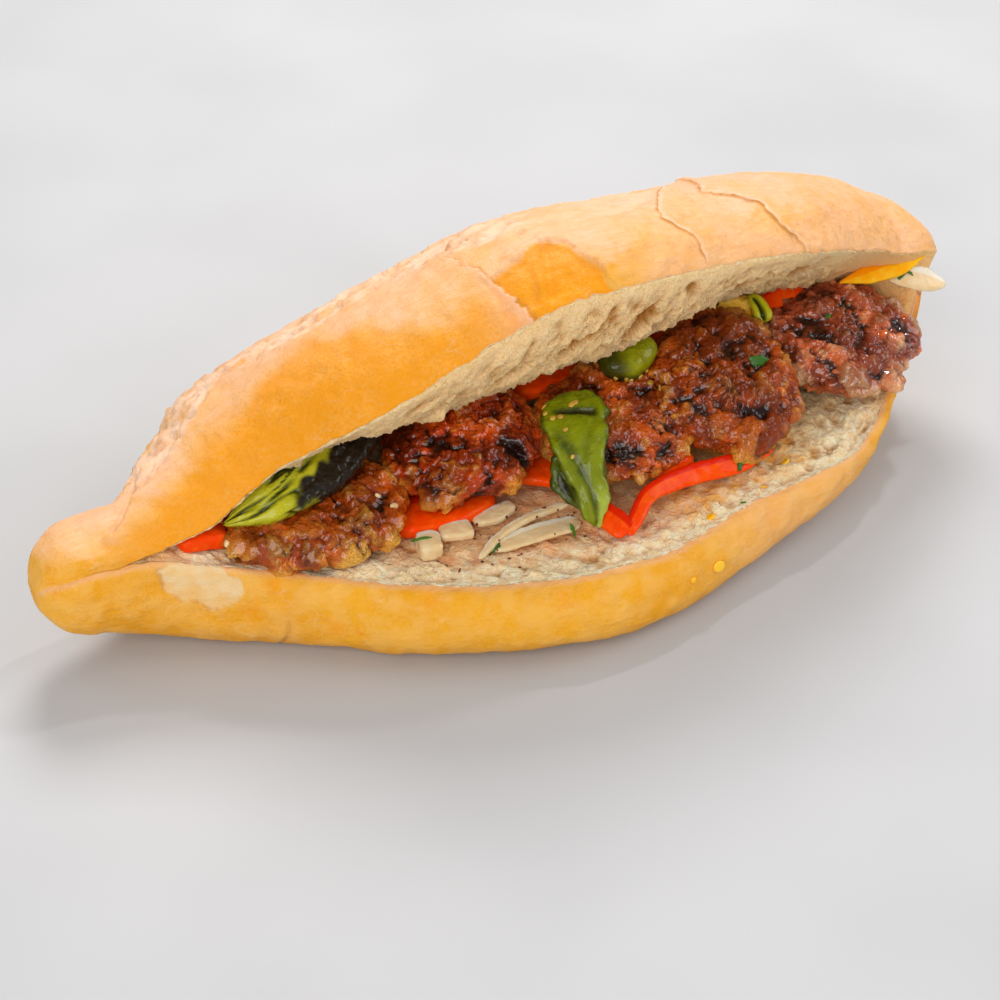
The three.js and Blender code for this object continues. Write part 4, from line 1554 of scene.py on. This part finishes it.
@dataclass(frozen=True)
class Patties:
    """The five grilled patties, from the knob's end to the tip's."""

    lumps: tuple[Lump, ...] = (
        Lump(-79, -8, 36.6, 55, 52, 15, 3, 0, 1.7),
        Lump(-28, -9, 43.5, 50, 45, 15, 12, -9, 4.1),
        Lump(21, -21, 42.5, 46, 45, 15, 15, -4, 2.9),
        Lump(60, -24, 46, 51, 50, 16, 21, 0, 5.3),
        Lump(111, -15, 42.5, 52, 46, 15, 15, -2, 3.4),
    )
    finishes: tuple[GrilledMince, ...] = (
        GrilledMince("grilled_mince_brown", brown="#EE6A0C", red="#F85E08", amber="#FFC04C", dark="#641F06"),
        GrilledMince("grilled_mince_burnt", brown="#E64C08", red="#FF5A0E", amber="#FFB240", dark="#521605"),
        GrilledMince("grilled_mince_red", brown="#FF7014", red="#FF6414", amber="#FFBE52", dark="#6A1C08"),
        GrilledMince("grilled_mince_coarse", brown="#DA5E0C", red="#F65C0E", amber="#FFB648", dark="#5A1C06"),
        GrilledMince("grilled_mince_purple", brown="#FF7E44", red="#FF7434", amber="#FFD094", dark="#641A12",
                     purple="#6C262C", coat=1.0),
    )
    cleft_in: int = 1  # the patty that has the notch
    burnt_share: tuple[float, ...] = (0.0, 0.22, 0.1, 0.12, 0.1)
    purple_share: tuple[float, ...] = (0.0, 0.1, 0.1, 0.3, 0.5)

    def patty(self, number: int) -> Skin:
        """One patty with its lumps, cracks and burnt patches.

        Args:
            number: which of them, from 0.

        Returns:
            The dressed surface.
        """
        lump, salt = self.lumps[number], 200 + 40 * number
        skin = lump.skin(240, 112)
        skin.lift(1.3 * waves(skin.points, 12, salt, 2))
        points, axis = skin.points, lump.turning()[:, 2]
        rim = 1 - np.abs(skin.normals() @ axis)
        warp = np.stack([waves(points, 4, salt + 3 + k, 2) for k in range(3)], -1)
        bent = points + warp * 1.8
        near, _, own = cells(bent, 8.5, salt + 9)
        small_near, _, small_own = cells(bent, 3.4, salt + 19)
        coarse, small = 1 - np.minimum(near, 1) ** 2, 1 - np.minimum(small_near, 1) ** 2
        rough = ramp(waves(points, 9, salt + 23, 2), -0.4, 0.3)
        crack = bump(waves(bent, 9, salt + 31, 2), 0.045)
        crack *= ramp(waves(points, 12, salt + 32, 1), -0.1, 0.3)
        total = 4.6 * coarse * (0.45 + 0.8 * own) * (0.5 + 0.7 * rim) + 2.7 * small * (0.35 + 0.65 * rough)
        total += 0.45 * waves(points, 1.7, salt + 27, 3)
        total -= 1.1 * crack
        if number == self.cleft_in:
            total -= 3.2 * self.cleft(lump, points)
        low, middle, level, high, top_most = np.percentile(total, (3, 40, 60, 62, 97))
        skin.lift(total - level)

        rise = lump.inner(skin.points) @ axis
        top = ramp(rise, 2, 6)
        low_rim = ramp(rise, 3, -4) * rim * ramp(skin.points[..., 1], lump.y + 6, lump.y - 10)
        scorch = waves(points, 13, salt + 33, 2) + 0.3 * (coarse - 0.7)
        spared = 0.6 - self.burnt_share[number]
        burnt = top * ramp(scorch, spared, spared + 0.35)
        fat = ramp(own, 0.55, 0.85) * ramp(coarse, 0.35, 0.9) * (0.12 + 0.5 * rim + 0.7 * low_rim)
        fat = np.maximum(fat, (0.45 + 0.5 * low_rim) * ramp(small_own, 0.8, 0.92) * ramp(small, 0.5, 0.9))
        dull = ramp(waves(points, 15, salt + 37, 2), -0.45, 0.3)
        shade = dull * (0.4 + 0.6 * top) * (1 - 0.9 * low_rim)
        share = self.purple_share[number]
        skin.values = {
            "own": 0.5 + (own - 0.5) * coarse * 0.8 + (small_own - 0.5) * small * 0.6,
            "fat": np.clip(fat * (1 - burnt), 0, 1),
            # painted highlight on the highest crests
            "crest_highlight": ramp(total, high, top_most) * ramp(waves(points, 11, salt + 39, 2), -0.35, 0.3),
            "shade": np.clip(0.85 * shade * (0.5 + 0.5 * (1 - coarse)), 0, 1),
            # painted shade in the lowest hollows and in the cracks
            "gap": np.maximum(ramp(total, middle, low), crack),
            "purple": ramp(waves(points, 10, salt + 35, 2), 0.35 - share, 0.7 - share) * share,
            "burnt": burnt * 0.5,
        }
        return skin

    def cleft(self, lump: Lump, points: Array) -> Array:
        """How deep in the notch by the second patty's right lobe each point is, 0 to 1."""
        away = lump.inner(points)
        angle = np.arctan2(away[..., 1], away[..., 0])
        reach = np.hypot(away[..., 0], away[..., 1])
        return bump(angle + 0.95, 0.13) * ramp(reach, 10, 20)

    def build(self) -> None:
        """Makes the patties and dresses them."""
        for number, finish in enumerate(self.finishes):
            piece = make_piece(f"patty_{number + 1}", [self.patty(number)], finish.material())
            hand_over(piece, Slot.MEAT, f"kofta_{number + 1}")


@dataclass(frozen=True)
class GreenPeppers:
    """Grilled green peppers: a folded one, a hanging flap, a burnt scrap and a cap."""

    folded: Strip = Strip(Face.OUT, 3, (
        (-108, -11, 43, 6, 4), (-95, -13, 47, 13, 7), (-80, -11, 50.5, 17, 8), (-64, -6, 54, 15, 8),
        (-49, 0, 58, 9, 5)))
    flap: Strip = Strip(Face.OUT, 9, (
        (4.5, -16, 55.5, 15, 4), (2.5, -26, 54.5, 20, 4), (-0.5, -34.5, 51.5, 18, 4),
        (-2, -42, 45.5, 12, 4), (-2.5, -47.5, 38.5, 9.5, 4), (-3.5, -51, 31, 8, 3.5)))
    under_flap: Strip = Strip(Face.OUT, 3, (
        (-4, -34, 47, 8, 3), (-7.5, -36.5, 42.5, 7.5, 3), (-7.5, -40, 38, 6, 3), (-5, -45, 34, 4, 3)))
    scrap: Strip = Strip(Face.OUT, 3, ((85.5, 0.5, 58.5, 4, 4), (85.6, -5, 57, 5, 4), (85, -10, 53.5, 8, 6)))
    cap: Lump = Lump(32, -9, 57, 20, 17, 10, 20, 0, 0.8)

    dents: tuple[Triple, ...] = (  # along and across the folded one, and length
        (0.2, -0.35, 0.07), (0.33, 0.05, 0.08), (0.46, -0.3, 0.07), (0.5, 0.3, 0.05),
    )

    def dressed(self, skin: Skin, fold: Array, burnt: Array, flesh: Array) -> Skin:
        """Presses folds into a pepper and sets what its finish reads.

        Args:
            skin: the pepper's surface.
            fold: how deep in a fold each point is, 0 to 1.
            burnt: how burnt it is.
            flesh: how much pale flesh shows.

        Returns:
            The same surface.
        """
        skin.lift(-1.1 * fold + 0.35 * waves(skin.points, 5, 401, 2))
        skin.values = {
            "ridge": np.clip(ramp(fold, 0.35, 0.0) * 0.6, 0, 1),
            # painted shade in folds, slits and hollows
            "fold": np.clip(ramp(fold, 0.35, 0.9), 0, 1),
            "flesh": np.clip(flesh, 0, 1),
            "burnt": np.clip(burnt, 0, 1),
        }
        return skin

    def folds(self, skin: Skin, length: float, width: float, salt: int) -> Array:
        """Long creases that run with a strip, 1 in their depth.

        Args:
            skin: the strip's surface.
            length: how long a crease is, in millimetres.
            width: how far apart they are.
            salt: picks one of many patterns.

        Returns:
            How deep in a crease each point is.
        """
        along, across, over = skin.values["along"], skin.values["across"], skin.values["over"]
        place = np.stack([along * 70 / length, across * 8 / width, over * 0.4], -1)
        wave = waves(place, 1, salt, 2)
        return bump(wave, 0.13)

    def long_skin(self) -> Skin:
        """The folded pepper, dented and burnt at its right end."""
        skin = self.folded.skin(190, 90)
        fold = self.folds(skin, 30, 5.5, 411)
        along, across = skin.values["along"], skin.values["across"]
        for place, level, length in self.dents:
            drift = level + 1.2 * (along - place)
            dent = bump(along - place, length) * bump(across - drift, 0.09)
            fold = np.maximum(fold, 1.3 * dent)
        wander = 0.12 * waves(skin.points, 6, 415, 2)
        burnt = ramp(along - 0.35 * across + wander, 0.52, 0.6) * ramp(along + wander, 0.3, 0.45)
        skin.lift(0.6 * burnt * waves(skin.points, 3.2, 417, 2))
        return self.dressed(skin, fold * (1 - 0.5 * burnt), burnt, 0 * burnt)

    def flap_skin(self, strip: Strip, salt: int, under: bool) -> Skin:
        """The hanging flap, or the darker side of it that shows under its edge.

        Args:
            strip: its shape.
            salt: picks its unevenness.
            under: whether it is the shaded underside.

        Returns:
            The dressed surface.
        """
        skin = strip.skin(130, 70)
        along, across = skin.values["along"], skin.values["across"]
        skin.lift(1.5 * across**4 * waves(skin.points, 5, salt + 1, 2))
        skin.values["over"] = 0 * across
        crease = self.folds(skin, 60, 9, salt) * 0.12
        bend = across + 0.75 - 1.25 * (along - 0.25)
        valley = 0.55 * bump(bend, 0.22) * ramp(along, 0.3, 0.45) * (not under)
        slit = bump(along - 0.2 - 0.06 * across, 0.025) * (not under)
        slit *= ramp(across, 0.9, 0.5) * ramp(across, -0.7, -0.3)
        flesh = 0.6 * ramp(along, 0.7, 0.85) * ramp(across, 0.0, 0.5) * (not under)
        burnt = bump(along - 0.6, 0.2) * bump(across + 0.1, 0.5) * under
        fold = np.maximum(crease, np.maximum(slit, 0.9 * valley))
        edge = ramp(np.abs(across), 0.88, 1.0) * 0.8
        skin = self.dressed(skin, fold, np.maximum(burnt, 0.7 * slit), flesh)
        skin.values["fold"] = np.clip(np.clip(np.maximum(fold, edge) + 0.75 * under, 0, 1) * 0.85, 0, 1)
        return skin

    def scrap_skin(self) -> Skin:
        """The small scrap, hollow on its face."""
        skin = self.scrap.skin(60, 48)
        along, across = skin.values["along"], skin.values["across"]
        # painted shade in the scrap's hollow
        hollow = bump(across + 0.1, 0.3) * ramp(along, 0.1, 0.3) * (skin.values["over"] > 0)
        burnt = 0.5 * ramp(along, 0.25, 0.05)
        return self.dressed(skin, hollow * 1.2, burnt, 0 * burnt)

    def cap_skin(self) -> Skin:
        """The round cap, creased once and dark under its rim."""
        around = 120
        skin = self.cap.skin(around, 60)
        turn = np.linspace(0, 2 * math.pi, around, endpoint=False)
        wander = 0.5 * waves(skin.points, 6, 441, 2)
        fold = bump(np.sin(turn / 2 - 0.9 + 0.2 * wander), 0.1)
        shaded = ramp(skin.points[..., 0], 31, 25)
        rim = ramp(skin.points[..., 2], 56, 53.5)
        skin = self.dressed(skin, fold * 0.5, 0.8 * rim, 0 * fold)
        skin.values["fold"] = np.maximum(skin.values["fold"], 0.85 * shaded)
        return skin

    def build(self) -> None:
        """Makes the four peppers and dresses them."""
        finish = GrilledPepper().material()
        deep = GrilledPepper("grilled_pepper_deep", green="#545E02", bright="#869006", dark="#1C2804")
        olive = GrilledPepper("grilled_pepper_olive", green="#646A02", bright="#9A9A08", dark="#22240A")
        flap = [self.flap_skin(self.flap, 421, False), self.flap_skin(self.under_flap, 425, True)]
        for name, skins, material, node in (
            ("green_pepper_1", [self.long_skin()], finish, "pepper_1"),
            ("green_pepper_2", flap, deep.material(), "pepper_2"),
            ("green_pepper_3", [self.scrap_skin()], finish, "pepper_3"),
            ("green_pepper_cap", [self.cap_skin()], olive.material(), "pepper_4"),
        ):
            hand_over(make_piece(name, skins, material), Slot.GREEN_PEPPER, node)


@dataclass(frozen=True)
class Slices:
    """Strips of one vegetable that share their finish."""

    title: str
    node: str
    slot: Slot
    strips: tuple[Strip, ...]
    finish: CutFlesh
    wave: float = 0.25  # unevenness in millimetres
    skin_from: float = 0.0  # how far across from the middle the vegetable's skin begins

    def build(self) -> None:
        """Makes the slices and dresses them."""
        finish = self.finish.material()
        for number, strip in enumerate(self.strips, 1):
            skin = strip.skin(90, 48)
            across = skin.values["across"]
            skin.lift(self.wave * waves(skin.points, 4, 500 + number, 2))
            skin.values = {"skin": np.clip(ramp(across, self.skin_from, self.skin_from + 0.12), 0, 1)}
            name = f"{self.title}_{number}" if len(self.strips) > 1 else self.title
            node = f"{self.node}_{number}" if len(self.strips) > 1 else self.node
            hand_over(make_piece(name, [skin], finish), self.slot, node)


TOMATO = Slices("tomato_slice", "tomato", Slot.TOMATO, (
    Strip(Face.UP, 8, ((-122, -8, 39.5, 9, 5), (-114, -8, 38.8, 9, 6), (-106.5, -9, 37.5, 8, 6))),
    Strip(Face.UP, 8, ((-58, -18, 31, 18, 5), (-42, -22, 31, 18, 5), (-24, -18, 31, 18, 5))),
    Strip(Face.UP, 8, ((-25, -14, 36, 16, 4), (-11, -18, 34.5, 17, 4), (2, -26, 33, 16, 4))),
    Strip(Face.OUT, 8, ((-2, -43, 33, 7, 2.5), (1, -50, 32, 8, 2.5), (4, -58, 30, 8, 2.5))),
    Strip(Face.OUT, 6, ((3.5, -58.5, 29.6, 6, 2.5), (9.5, -54, 32, 5, 2.5), (17, -49, 34, 5.5, 2.5),
                        (33, -47, 34, 6.5, 2.5), (49, -48, 33.5, 7, 2.5), (65, -46, 32, 3.5, 2.5))),
    Strip(Face.UP, 5, ((26, -38, 32, 9, 7), (32, -37, 32, 10, 8), (40, -36, 32, 9, 7))),
    Strip(Face.UP, 8, ((-2, 6, 45, 10, 5), (14, 5, 46, 12, 5), (30, 6, 46.5, 10, 5))),
    Strip(Face.OUT, 8, ((46, 4, 47, 12, 5), (58, 4, 49, 14, 5), (70, 6, 49, 12, 5))),
    Strip(Face.OUT, 8, ((92, 5, 49, 10, 5), (103, 5, 50, 12, 5), (114, 7, 50, 10, 5))),
), CutFlesh("sliced_tomato", flesh="#F64402", skin="#DC2200", vein="#FF6410", coat=0.15, gloss=0.06,
             share_inside=0.1), skin_from=0.3)

ONION = Slices("onion_slice", "onion", Slot.ONION, (
    Strip(Face.UP, 9, ((-56, -34, 30.5, 10, 6), (-52, -35, 30.5, 10, 6), (-48.5, -36, 30.5, 8, 5))),
    Strip(Face.UP, 12, ((-47, -31, 31, 8, 3), (-42, -33, 31.2, 8.5, 3), (-37, -34, 30.5, 8, 3))),
    Strip(Face.UP, 8, ((-35, -30, 30, 6, 2.5), (-28, -31, 30.2, 7, 2.5), (-20, -29, 30.5, 5, 2.5))),
    Strip(Face.UP, 8, ((-41, -46, 28.8, 2.5, 2), (-30, -40, 29.8, 2.8, 2), (-19.5, -37.5, 30.5, 2.8, 2),
                       (-5, -38, 31, 2.5, 2))),
    Strip(Face.UP, 9, ((-35, -43.5, 28.3, 5, 1.8), (-21, -43, 28.5, 8, 1.8), (-5, -44.5, 28.5, 7, 1.8))),
    Strip(Face.OUT, 4, ((137, -6, 54, 6, 2), (147, -9.5, 52.3, 9, 1.8), (157, -13.5, 48.5, 5, 1.6))),
    Strip(Face.UP, 5, ((-15, 3, 45, 8, 4), (-8, 2, 46, 9, 4), (-3, 2, 46, 8, 4))),
), CutFlesh("sliced_onion", flesh="#FFE4B4", skin="#FFF6E0", vein="#F8CA8C", tint=(1.0, 0.85, 0.6),
             depth=2.0, share_inside=0.35, clear=0.25, gloss=0.3), skin_from=0.3)

YELLOW_PEPPER = Slices("yellow_pepper_strip", "yellow_strip", Slot.YELLOW_PEPPER, (
    Strip(Face.OUT, 3, ((119, -4, 55.5, 2.5, 2), (131, -5.5, 56.5, 7, 2.5), (141, -7, 58.5, 8.5, 2.5),
                        (151.5, -9, 61.5, 4, 2))),
), CutFlesh("sweet_yellow_pepper", flesh="#FFAE08", skin="#FF9800", vein="#FFCC30", gloss=0.1, coat=0.15,
             tint=(1.0, 0.6, 0.1), share_inside=0.5))


@dataclass(frozen=True)
class RoastPiece:
    """The small lump of roast yellow pepper between the fourth and fifth patties."""

    lump: Lump = Lump(79, 1, 54, 15, 11, 8, 25, 0, 2.2)

    def build(self) -> None:
        """Makes the lump and dresses it."""
        skin = self.lump.skin(90, 44)
        skin.lift(0.9 * waves(skin.points, 4, 601, 2))
        skin.values = {"skin": ramp(waves(skin.points, 5, 603, 2), 0.1, 0.4)}
        finish = CutFlesh("roast_yellow_pepper", flesh="#F6B41C", skin="#5A3010", vein="#FFE070", gloss=0.2)
        hand_over(make_piece("roast_pepper", [skin], finish.material()), Slot.YELLOW_PEPPER, "pepper_5")


@dataclass(frozen=True)
class Morsel:
    """One small thing that lies on a finished piece."""

    on: str
    x: float
    y: float
    z: float
    length: float
    width: float
    thick: float
    turn: float = 0.0  # degrees, counter-clockwise seen from above, 0 along the loaf

    def skin(self, ground: BVHTree, salt: int, ragged: float) -> Skin:
        """The morsel on the spot of the ground nearest to its place.

        Args:
            ground: the piece it lies on.
            salt: picks one of many shapes.
            ragged: how uneven its outline is, 0 to 1.

        Returns:
            Its surface.
        """
        spot, normal, _, _ = ground.find_nearest(Vector((self.x, self.y, self.z)) * MM)
        up = np.array(normal)
        turn = math.radians(self.turn)
        side = unit(np.cross(np.array([-math.sin(turn), math.cos(turn), 0.0]), up))
        depth = np.cross(up, side)
        rings, around = 7, 18
        lift = (np.linspace(0, 1, rings + 2)[1:-1, None] - 0.5) * math.pi
        a = np.linspace(0, 2 * math.pi, around, endpoint=False)
        circle = np.stack([np.cos(a), np.sin(a), 0 * a + salt], -1)
        uneven = 1 + ragged * waves(circle, 0.7, salt, 2)
        flat = np.cos(lift) ** 0.6
        bend = 0.08 * self.length * np.cos(a) ** 2 * flat
        local = [self.length / 2 * uneven * flat * np.cos(a), self.width / 2 * uneven * flat * np.sin(a),
                 self.thick / 2 * np.sin(lift) - bend * ragged + self.thick * 0.3]
        points = local[0][..., None] * side + local[1][..., None] * depth + local[2][..., None] * up
        tone = dice(np.full((1, 1, 3), salt), 77) * np.ones((rings, around))
        return Skin(points + np.array(spot) / MM, {"own": tone})


def lying(on: str, *places: tuple[float, ...]) -> tuple[Morsel, ...]:
    """Small things on one piece, each given by a morsel's own numbers in their order."""
    return tuple(Morsel(on, *place) for place in places)


@dataclass(frozen=True)
class SmallThing(Finish):
    """Leaf, seed, spice, crumb or oil: a small thing of one stuff, no two of quite the same tone."""

    name: str = "small_thing"
    roughness: float = 0.45
    one: str = "#3E6B12"
    other: str = "#1F3D0A"
    relief_depth: float = 0.06

    def dress(self, bench: Bench) -> None:
        """A tone between the two colours, clouded."""
        clouds = bench.pattern(0.9, 2, 0.2)
        masks = [(self.other, bench.value("own")), (self.one, clouds, 0.4)]
        bench.colour(self.one, masks)
        bench.relief([(clouds, self.relief_depth)])


@dataclass(frozen=True)
class Garnish:
    """The small things on the filling and the bread, one piece for each kind."""

    seed: int = 7
    leaves: tuple[Morsel, ...] = (
        *lying("onion_slice_5", (-35, -43.5, 30, 4.2, 3.2, 0.5, 20), (-9.5, -49.5, 29, 6, 1.3, 0.6, -24)),
        Morsel("onion_slice_1", -54.5, -34.5, 34, 7, 1, 0.6, -24),
        Morsel("tomato_slice_5", 50, -50, 34, 2.2, 4, 0.9, -29),
        Morsel("patty_4", 71.5, -26.5, 53, 6.4, 3.8, 0.7, -20),
        Morsel("patty_5", 108.5, -12.5, 51, 2.2, 1.5, 0.5, 10),
        *lying("onion_slice_6", (141.5, -10.5, 57, 6, 1.8, 0.6, 15), (144, -10.5, 57, 4, 1.4, 0.5, -45)),
        Morsel("bread_crumb", 46, -57.5, 26, 2.6, 0.7, 0.4, -45),
    )
    seeds: tuple[Morsel, ...] = (
        *lying("green_pepper_2",
               (-4, -18, 56, 2.4, 1.9, 0.9, 20), (-5, -22, 55, 2.2, 1.8, 0.9, 80),
               (-4.5, -26, 54, 2.4, 1.9, 0.9, 50), (-2, -26.5, 54.5, 2.2, 1.8, 0.9, -30),
               (-3, -31, 53, 1.8, 1.4, 0.8), (3.5, -24, 56, 2.4, 1.9, 0.9, 10),
               (5, -24, 56, 2, 1.7, 0.9, 60), (6, -33, 52.5, 2, 1.6, 0.8, -20),
               (-4.5, -38, 48, 1.6, 1.3, 0.7, 30)),
        *lying("green_pepper_cap",
               (24, -16, 53.5, 1.8, 1.3, 0.9), (27.5, -17, 53, 2.2, 1.4, 0.9, 40),
               (29, -18, 52.5, 1.5, 1.2, 0.9, -40), (33.5, -18, 52.5, 2, 1.5, 0.9, 15),
               (36.5, -17, 53, 1.6, 1.2, 0.9, 70)),
        Morsel("patty_3", 35.5, -18.5, 51, 2.6, 2, 0.9, 10),
        Morsel("patty_4", 36.5, -22.5, 51.5, 2.6, 1.9, 0.9, 60),
    )
    crumbs: tuple[Morsel, ...] = (
        *lying("patty_1",
               (-57.5, -24, 41, 3.2, 1.8, 1.5, 20), (-107.5, -15.5, 38, 1.6, 3, 1.4, -29),
               (-60, -19, 43, 2, 1.6, 1.2, 50)),
    )
    oil: tuple[Morsel, ...] = (
        Morsel("bread_crumb", 33.5, -58.5, 24.5, 4, 3.6, 1.3),
        Morsel("bread_crust", 28, -76, 18.5, 4.4, 4, 1.1),
        Morsel("bread_crumb", 69.5, -48.5, 25.5, 3.6, 3, 1.1),
        Morsel("bread_crust", 17.5, -77, 18.5, 2.4, 2.2, 0.7),
        Morsel("bread_crumb", 57, -54, 25.5, 4.6, 1.6, 0.7, 20),
    )

    spice_on: tuple[tuple[str, int], ...] = (  # what the flecks lie on, and how many
        ("bread_crumb", 34), ("onion_slice_4", 8), ("onion_slice_5", 9), ("onion_slice_3", 5),
        ("onion_slice_2", 5), ("onion_slice_1", 3), ("tomato_slice_2", 3),
    )

    def spice(self) -> tuple[Morsel, ...]:
        """Flecks of sumac and pepper scattered over the onions and the crumb by them."""
        chance = np.random.default_rng(self.seed)
        flecks = []
        for ground, count in self.spice_on:
            for _ in range(count):
                x, y = chance.uniform(-50, 4), chance.uniform(-52, -31)
                size = chance.uniform(0.6, 1.3)
                flecks.append(Morsel(ground, x, y, 31, size, size * 0.7, size * 0.45, chance.uniform(0, 180)))
        return tuple(flecks)

    def build(self) -> None:
        """Makes every kind and dresses it."""
        leaf = SmallThing("chopped_parsley", one="#3F7A18", other="#1E4A0C", roughness=0.4)
        seed = SmallThing("pepper_seed", one="#CFA63A", other="#A87C28", roughness=0.35, coat=0.4)
        crumb = SmallThing("bread_crumb_bit", one="#F3D9A6", other="#DDB070", roughness=0.9)
        spice = SmallThing("sumac_and_pepper", one="#8A2A12", other="#3E1208", roughness=0.7)
        oil = SmallThing("frying_oil", one="#FFC62A", other="#FFB510", roughness=0.06, relief_depth=0.01)
        kinds = (
            ("parsley_bits", self.leaves, leaf, Slot.PARSLEY, 0.5),
            ("pepper_seeds", self.seeds, seed, Slot.GREEN_PEPPER, 0.15),
            ("loose_crumbs", self.crumbs, crumb, Slot.CRUMB, 0.6),
            ("spice_flecks", self.spice(), spice, Slot.SPICE, 0.5),
            ("oil_drops", self.oil, oil, Slot.OIL, 0.08),
        )
        grounds = {}
        bpy.context.view_layer.update()
        view = bpy.context.evaluated_depsgraph_get()
        for title, morsels, finish, slot, ragged in kinds:
            skins = []
            for number, morsel in enumerate(morsels):
                if morsel.on not in grounds:
                    grounds[morsel.on] = BVHTree.FromObject(bpy.data.objects[morsel.on], view)
                skins.append(morsel.skin(grounds[morsel.on], 700 + number, ragged))
            hand_over(make_piece(title, skins, finish.material()), slot)


# ---- studio


@dataclass(frozen=True)
class Softbox:
    """A square studio lamp with a cloth front, aimed at the loaf."""

    name: str
    azimuth: float
    elevation: float
    distance: float  # metres
    side: float
    watts: float
    colour: str = "#FFFFFF"

    def build(self, target: Vector) -> None:
        """Hangs the lamp and aims it at the target."""
        lamp = bpy.data.lights.new(self.name, "AREA")
        lamp.shape, lamp.size = "SQUARE", self.side
        lamp.energy = self.watts
        lamp.color = paint(self.colour)[:3]
        holder = bpy.data.objects.new(self.name, lamp)
        away = direction(self.azimuth, self.elevation)
        holder.location = target + away * self.distance
        holder.rotation_euler = (-away).to_track_quat("-Z", "Y").to_euler()
        bpy.context.scene.collection.objects.link(holder)


def direction(azimuth: float, elevation: float) -> Vector:
    """The way from the loaf to something at this azimuth and elevation.

    Args:
        azimuth: degrees, 0 in front of the loaf's open side and 90 beyond its tip.
        elevation: degrees above the horizon.

    Returns:
        A vector of length 1.
    """
    a, e = math.radians(azimuth), math.radians(elevation)
    return Vector((math.sin(a) * math.cos(e), -math.cos(a) * math.cos(e), math.sin(e)))


@dataclass(frozen=True)
class Studio:
    """A pale floor, soft lamps and the camera."""

    floor_side: float = 8.0
    azimuth: float = -29.0
    elevation: float = 37.0
    distance: float = 0.692
    lens: float = 78.1
    sensor: float = 36.0
    aim_shift: Triple = (-0.0129, -0.0027, -0.0394)  # from the loaf's middle
    sky: float = 0.34
    clip: tuple[float, float] = (0.01, 20)  # the nearest and the farthest that shows, in metres
    lamps: tuple[Softbox, ...] = (
        Softbox("window", 158, 48, 1.3, 0.5, 12.0, "#FFFDFC"),
        Softbox("spark", 120, 58, 1.2, 0.07, 2.0),
        Softbox("front_fill", -45, 30, 1.3, 0.9, 10.4),
        Softbox("right_fill", 60, 35, 1.3, 0.8, 6.0, "#F8FAFF"),
    )

    def build(self) -> None:
        """Sets the floor, the sky, the lamps, the camera and the plain colour display."""
        low, high = (Vector(corner) for corner in CAD_BOX)
        middle = (low + high) / 2
        scene = bpy.context.scene
        half = self.floor_side / 2
        mesh = bpy.data.meshes.new("floor")
        corners = [(-half, -half), (half, -half), (half, half), (-half, half)]
        mesh.from_pydata([(x, y, low.z) for x, y in corners], [], [(0, 1, 2, 3)])
        mesh.materials.append(PaleFloor().material())
        floor = bpy.data.objects.new("floor", mesh)
        scene.collection.objects.link(floor)
        world = bpy.data.worlds.new("soft_sky")
        world.use_nodes = True
        background = world.node_tree.nodes["Background"]
        background.inputs["Color"].default_value = paint("#FFFEFC")
        background.inputs["Strength"].default_value = self.sky
        scene.world = world
        for lamp in self.lamps:
            lamp.build(middle)
        data = bpy.data.cameras.new("camera")
        data.lens, data.sensor_width = self.lens, self.sensor
        data.clip_start, data.clip_end = self.clip
        camera = bpy.data.objects.new("camera", data)
        away = direction(self.azimuth, self.elevation)
        camera.location = middle + Vector(self.aim_shift) + away * self.distance
        camera.rotation_euler = (-away).to_track_quat("-Z", "Y").to_euler()
        scene.collection.objects.link(camera)
        scene.camera = camera
        scene.view_settings.view_transform = "Standard"


def main() -> None:
    """Builds the sandwich and the studio in order."""
    logging.basicConfig(level=logging.INFO, format="%(name)s: %(message)s")
    filling = (Patties(), GreenPeppers(), TOMATO, ONION, YELLOW_PEPPER, RoastPiece(), Garnish())
    for part in (Bread(), *filling, Studio()):
        part.build()


if __name__ == "__main__":
    main()
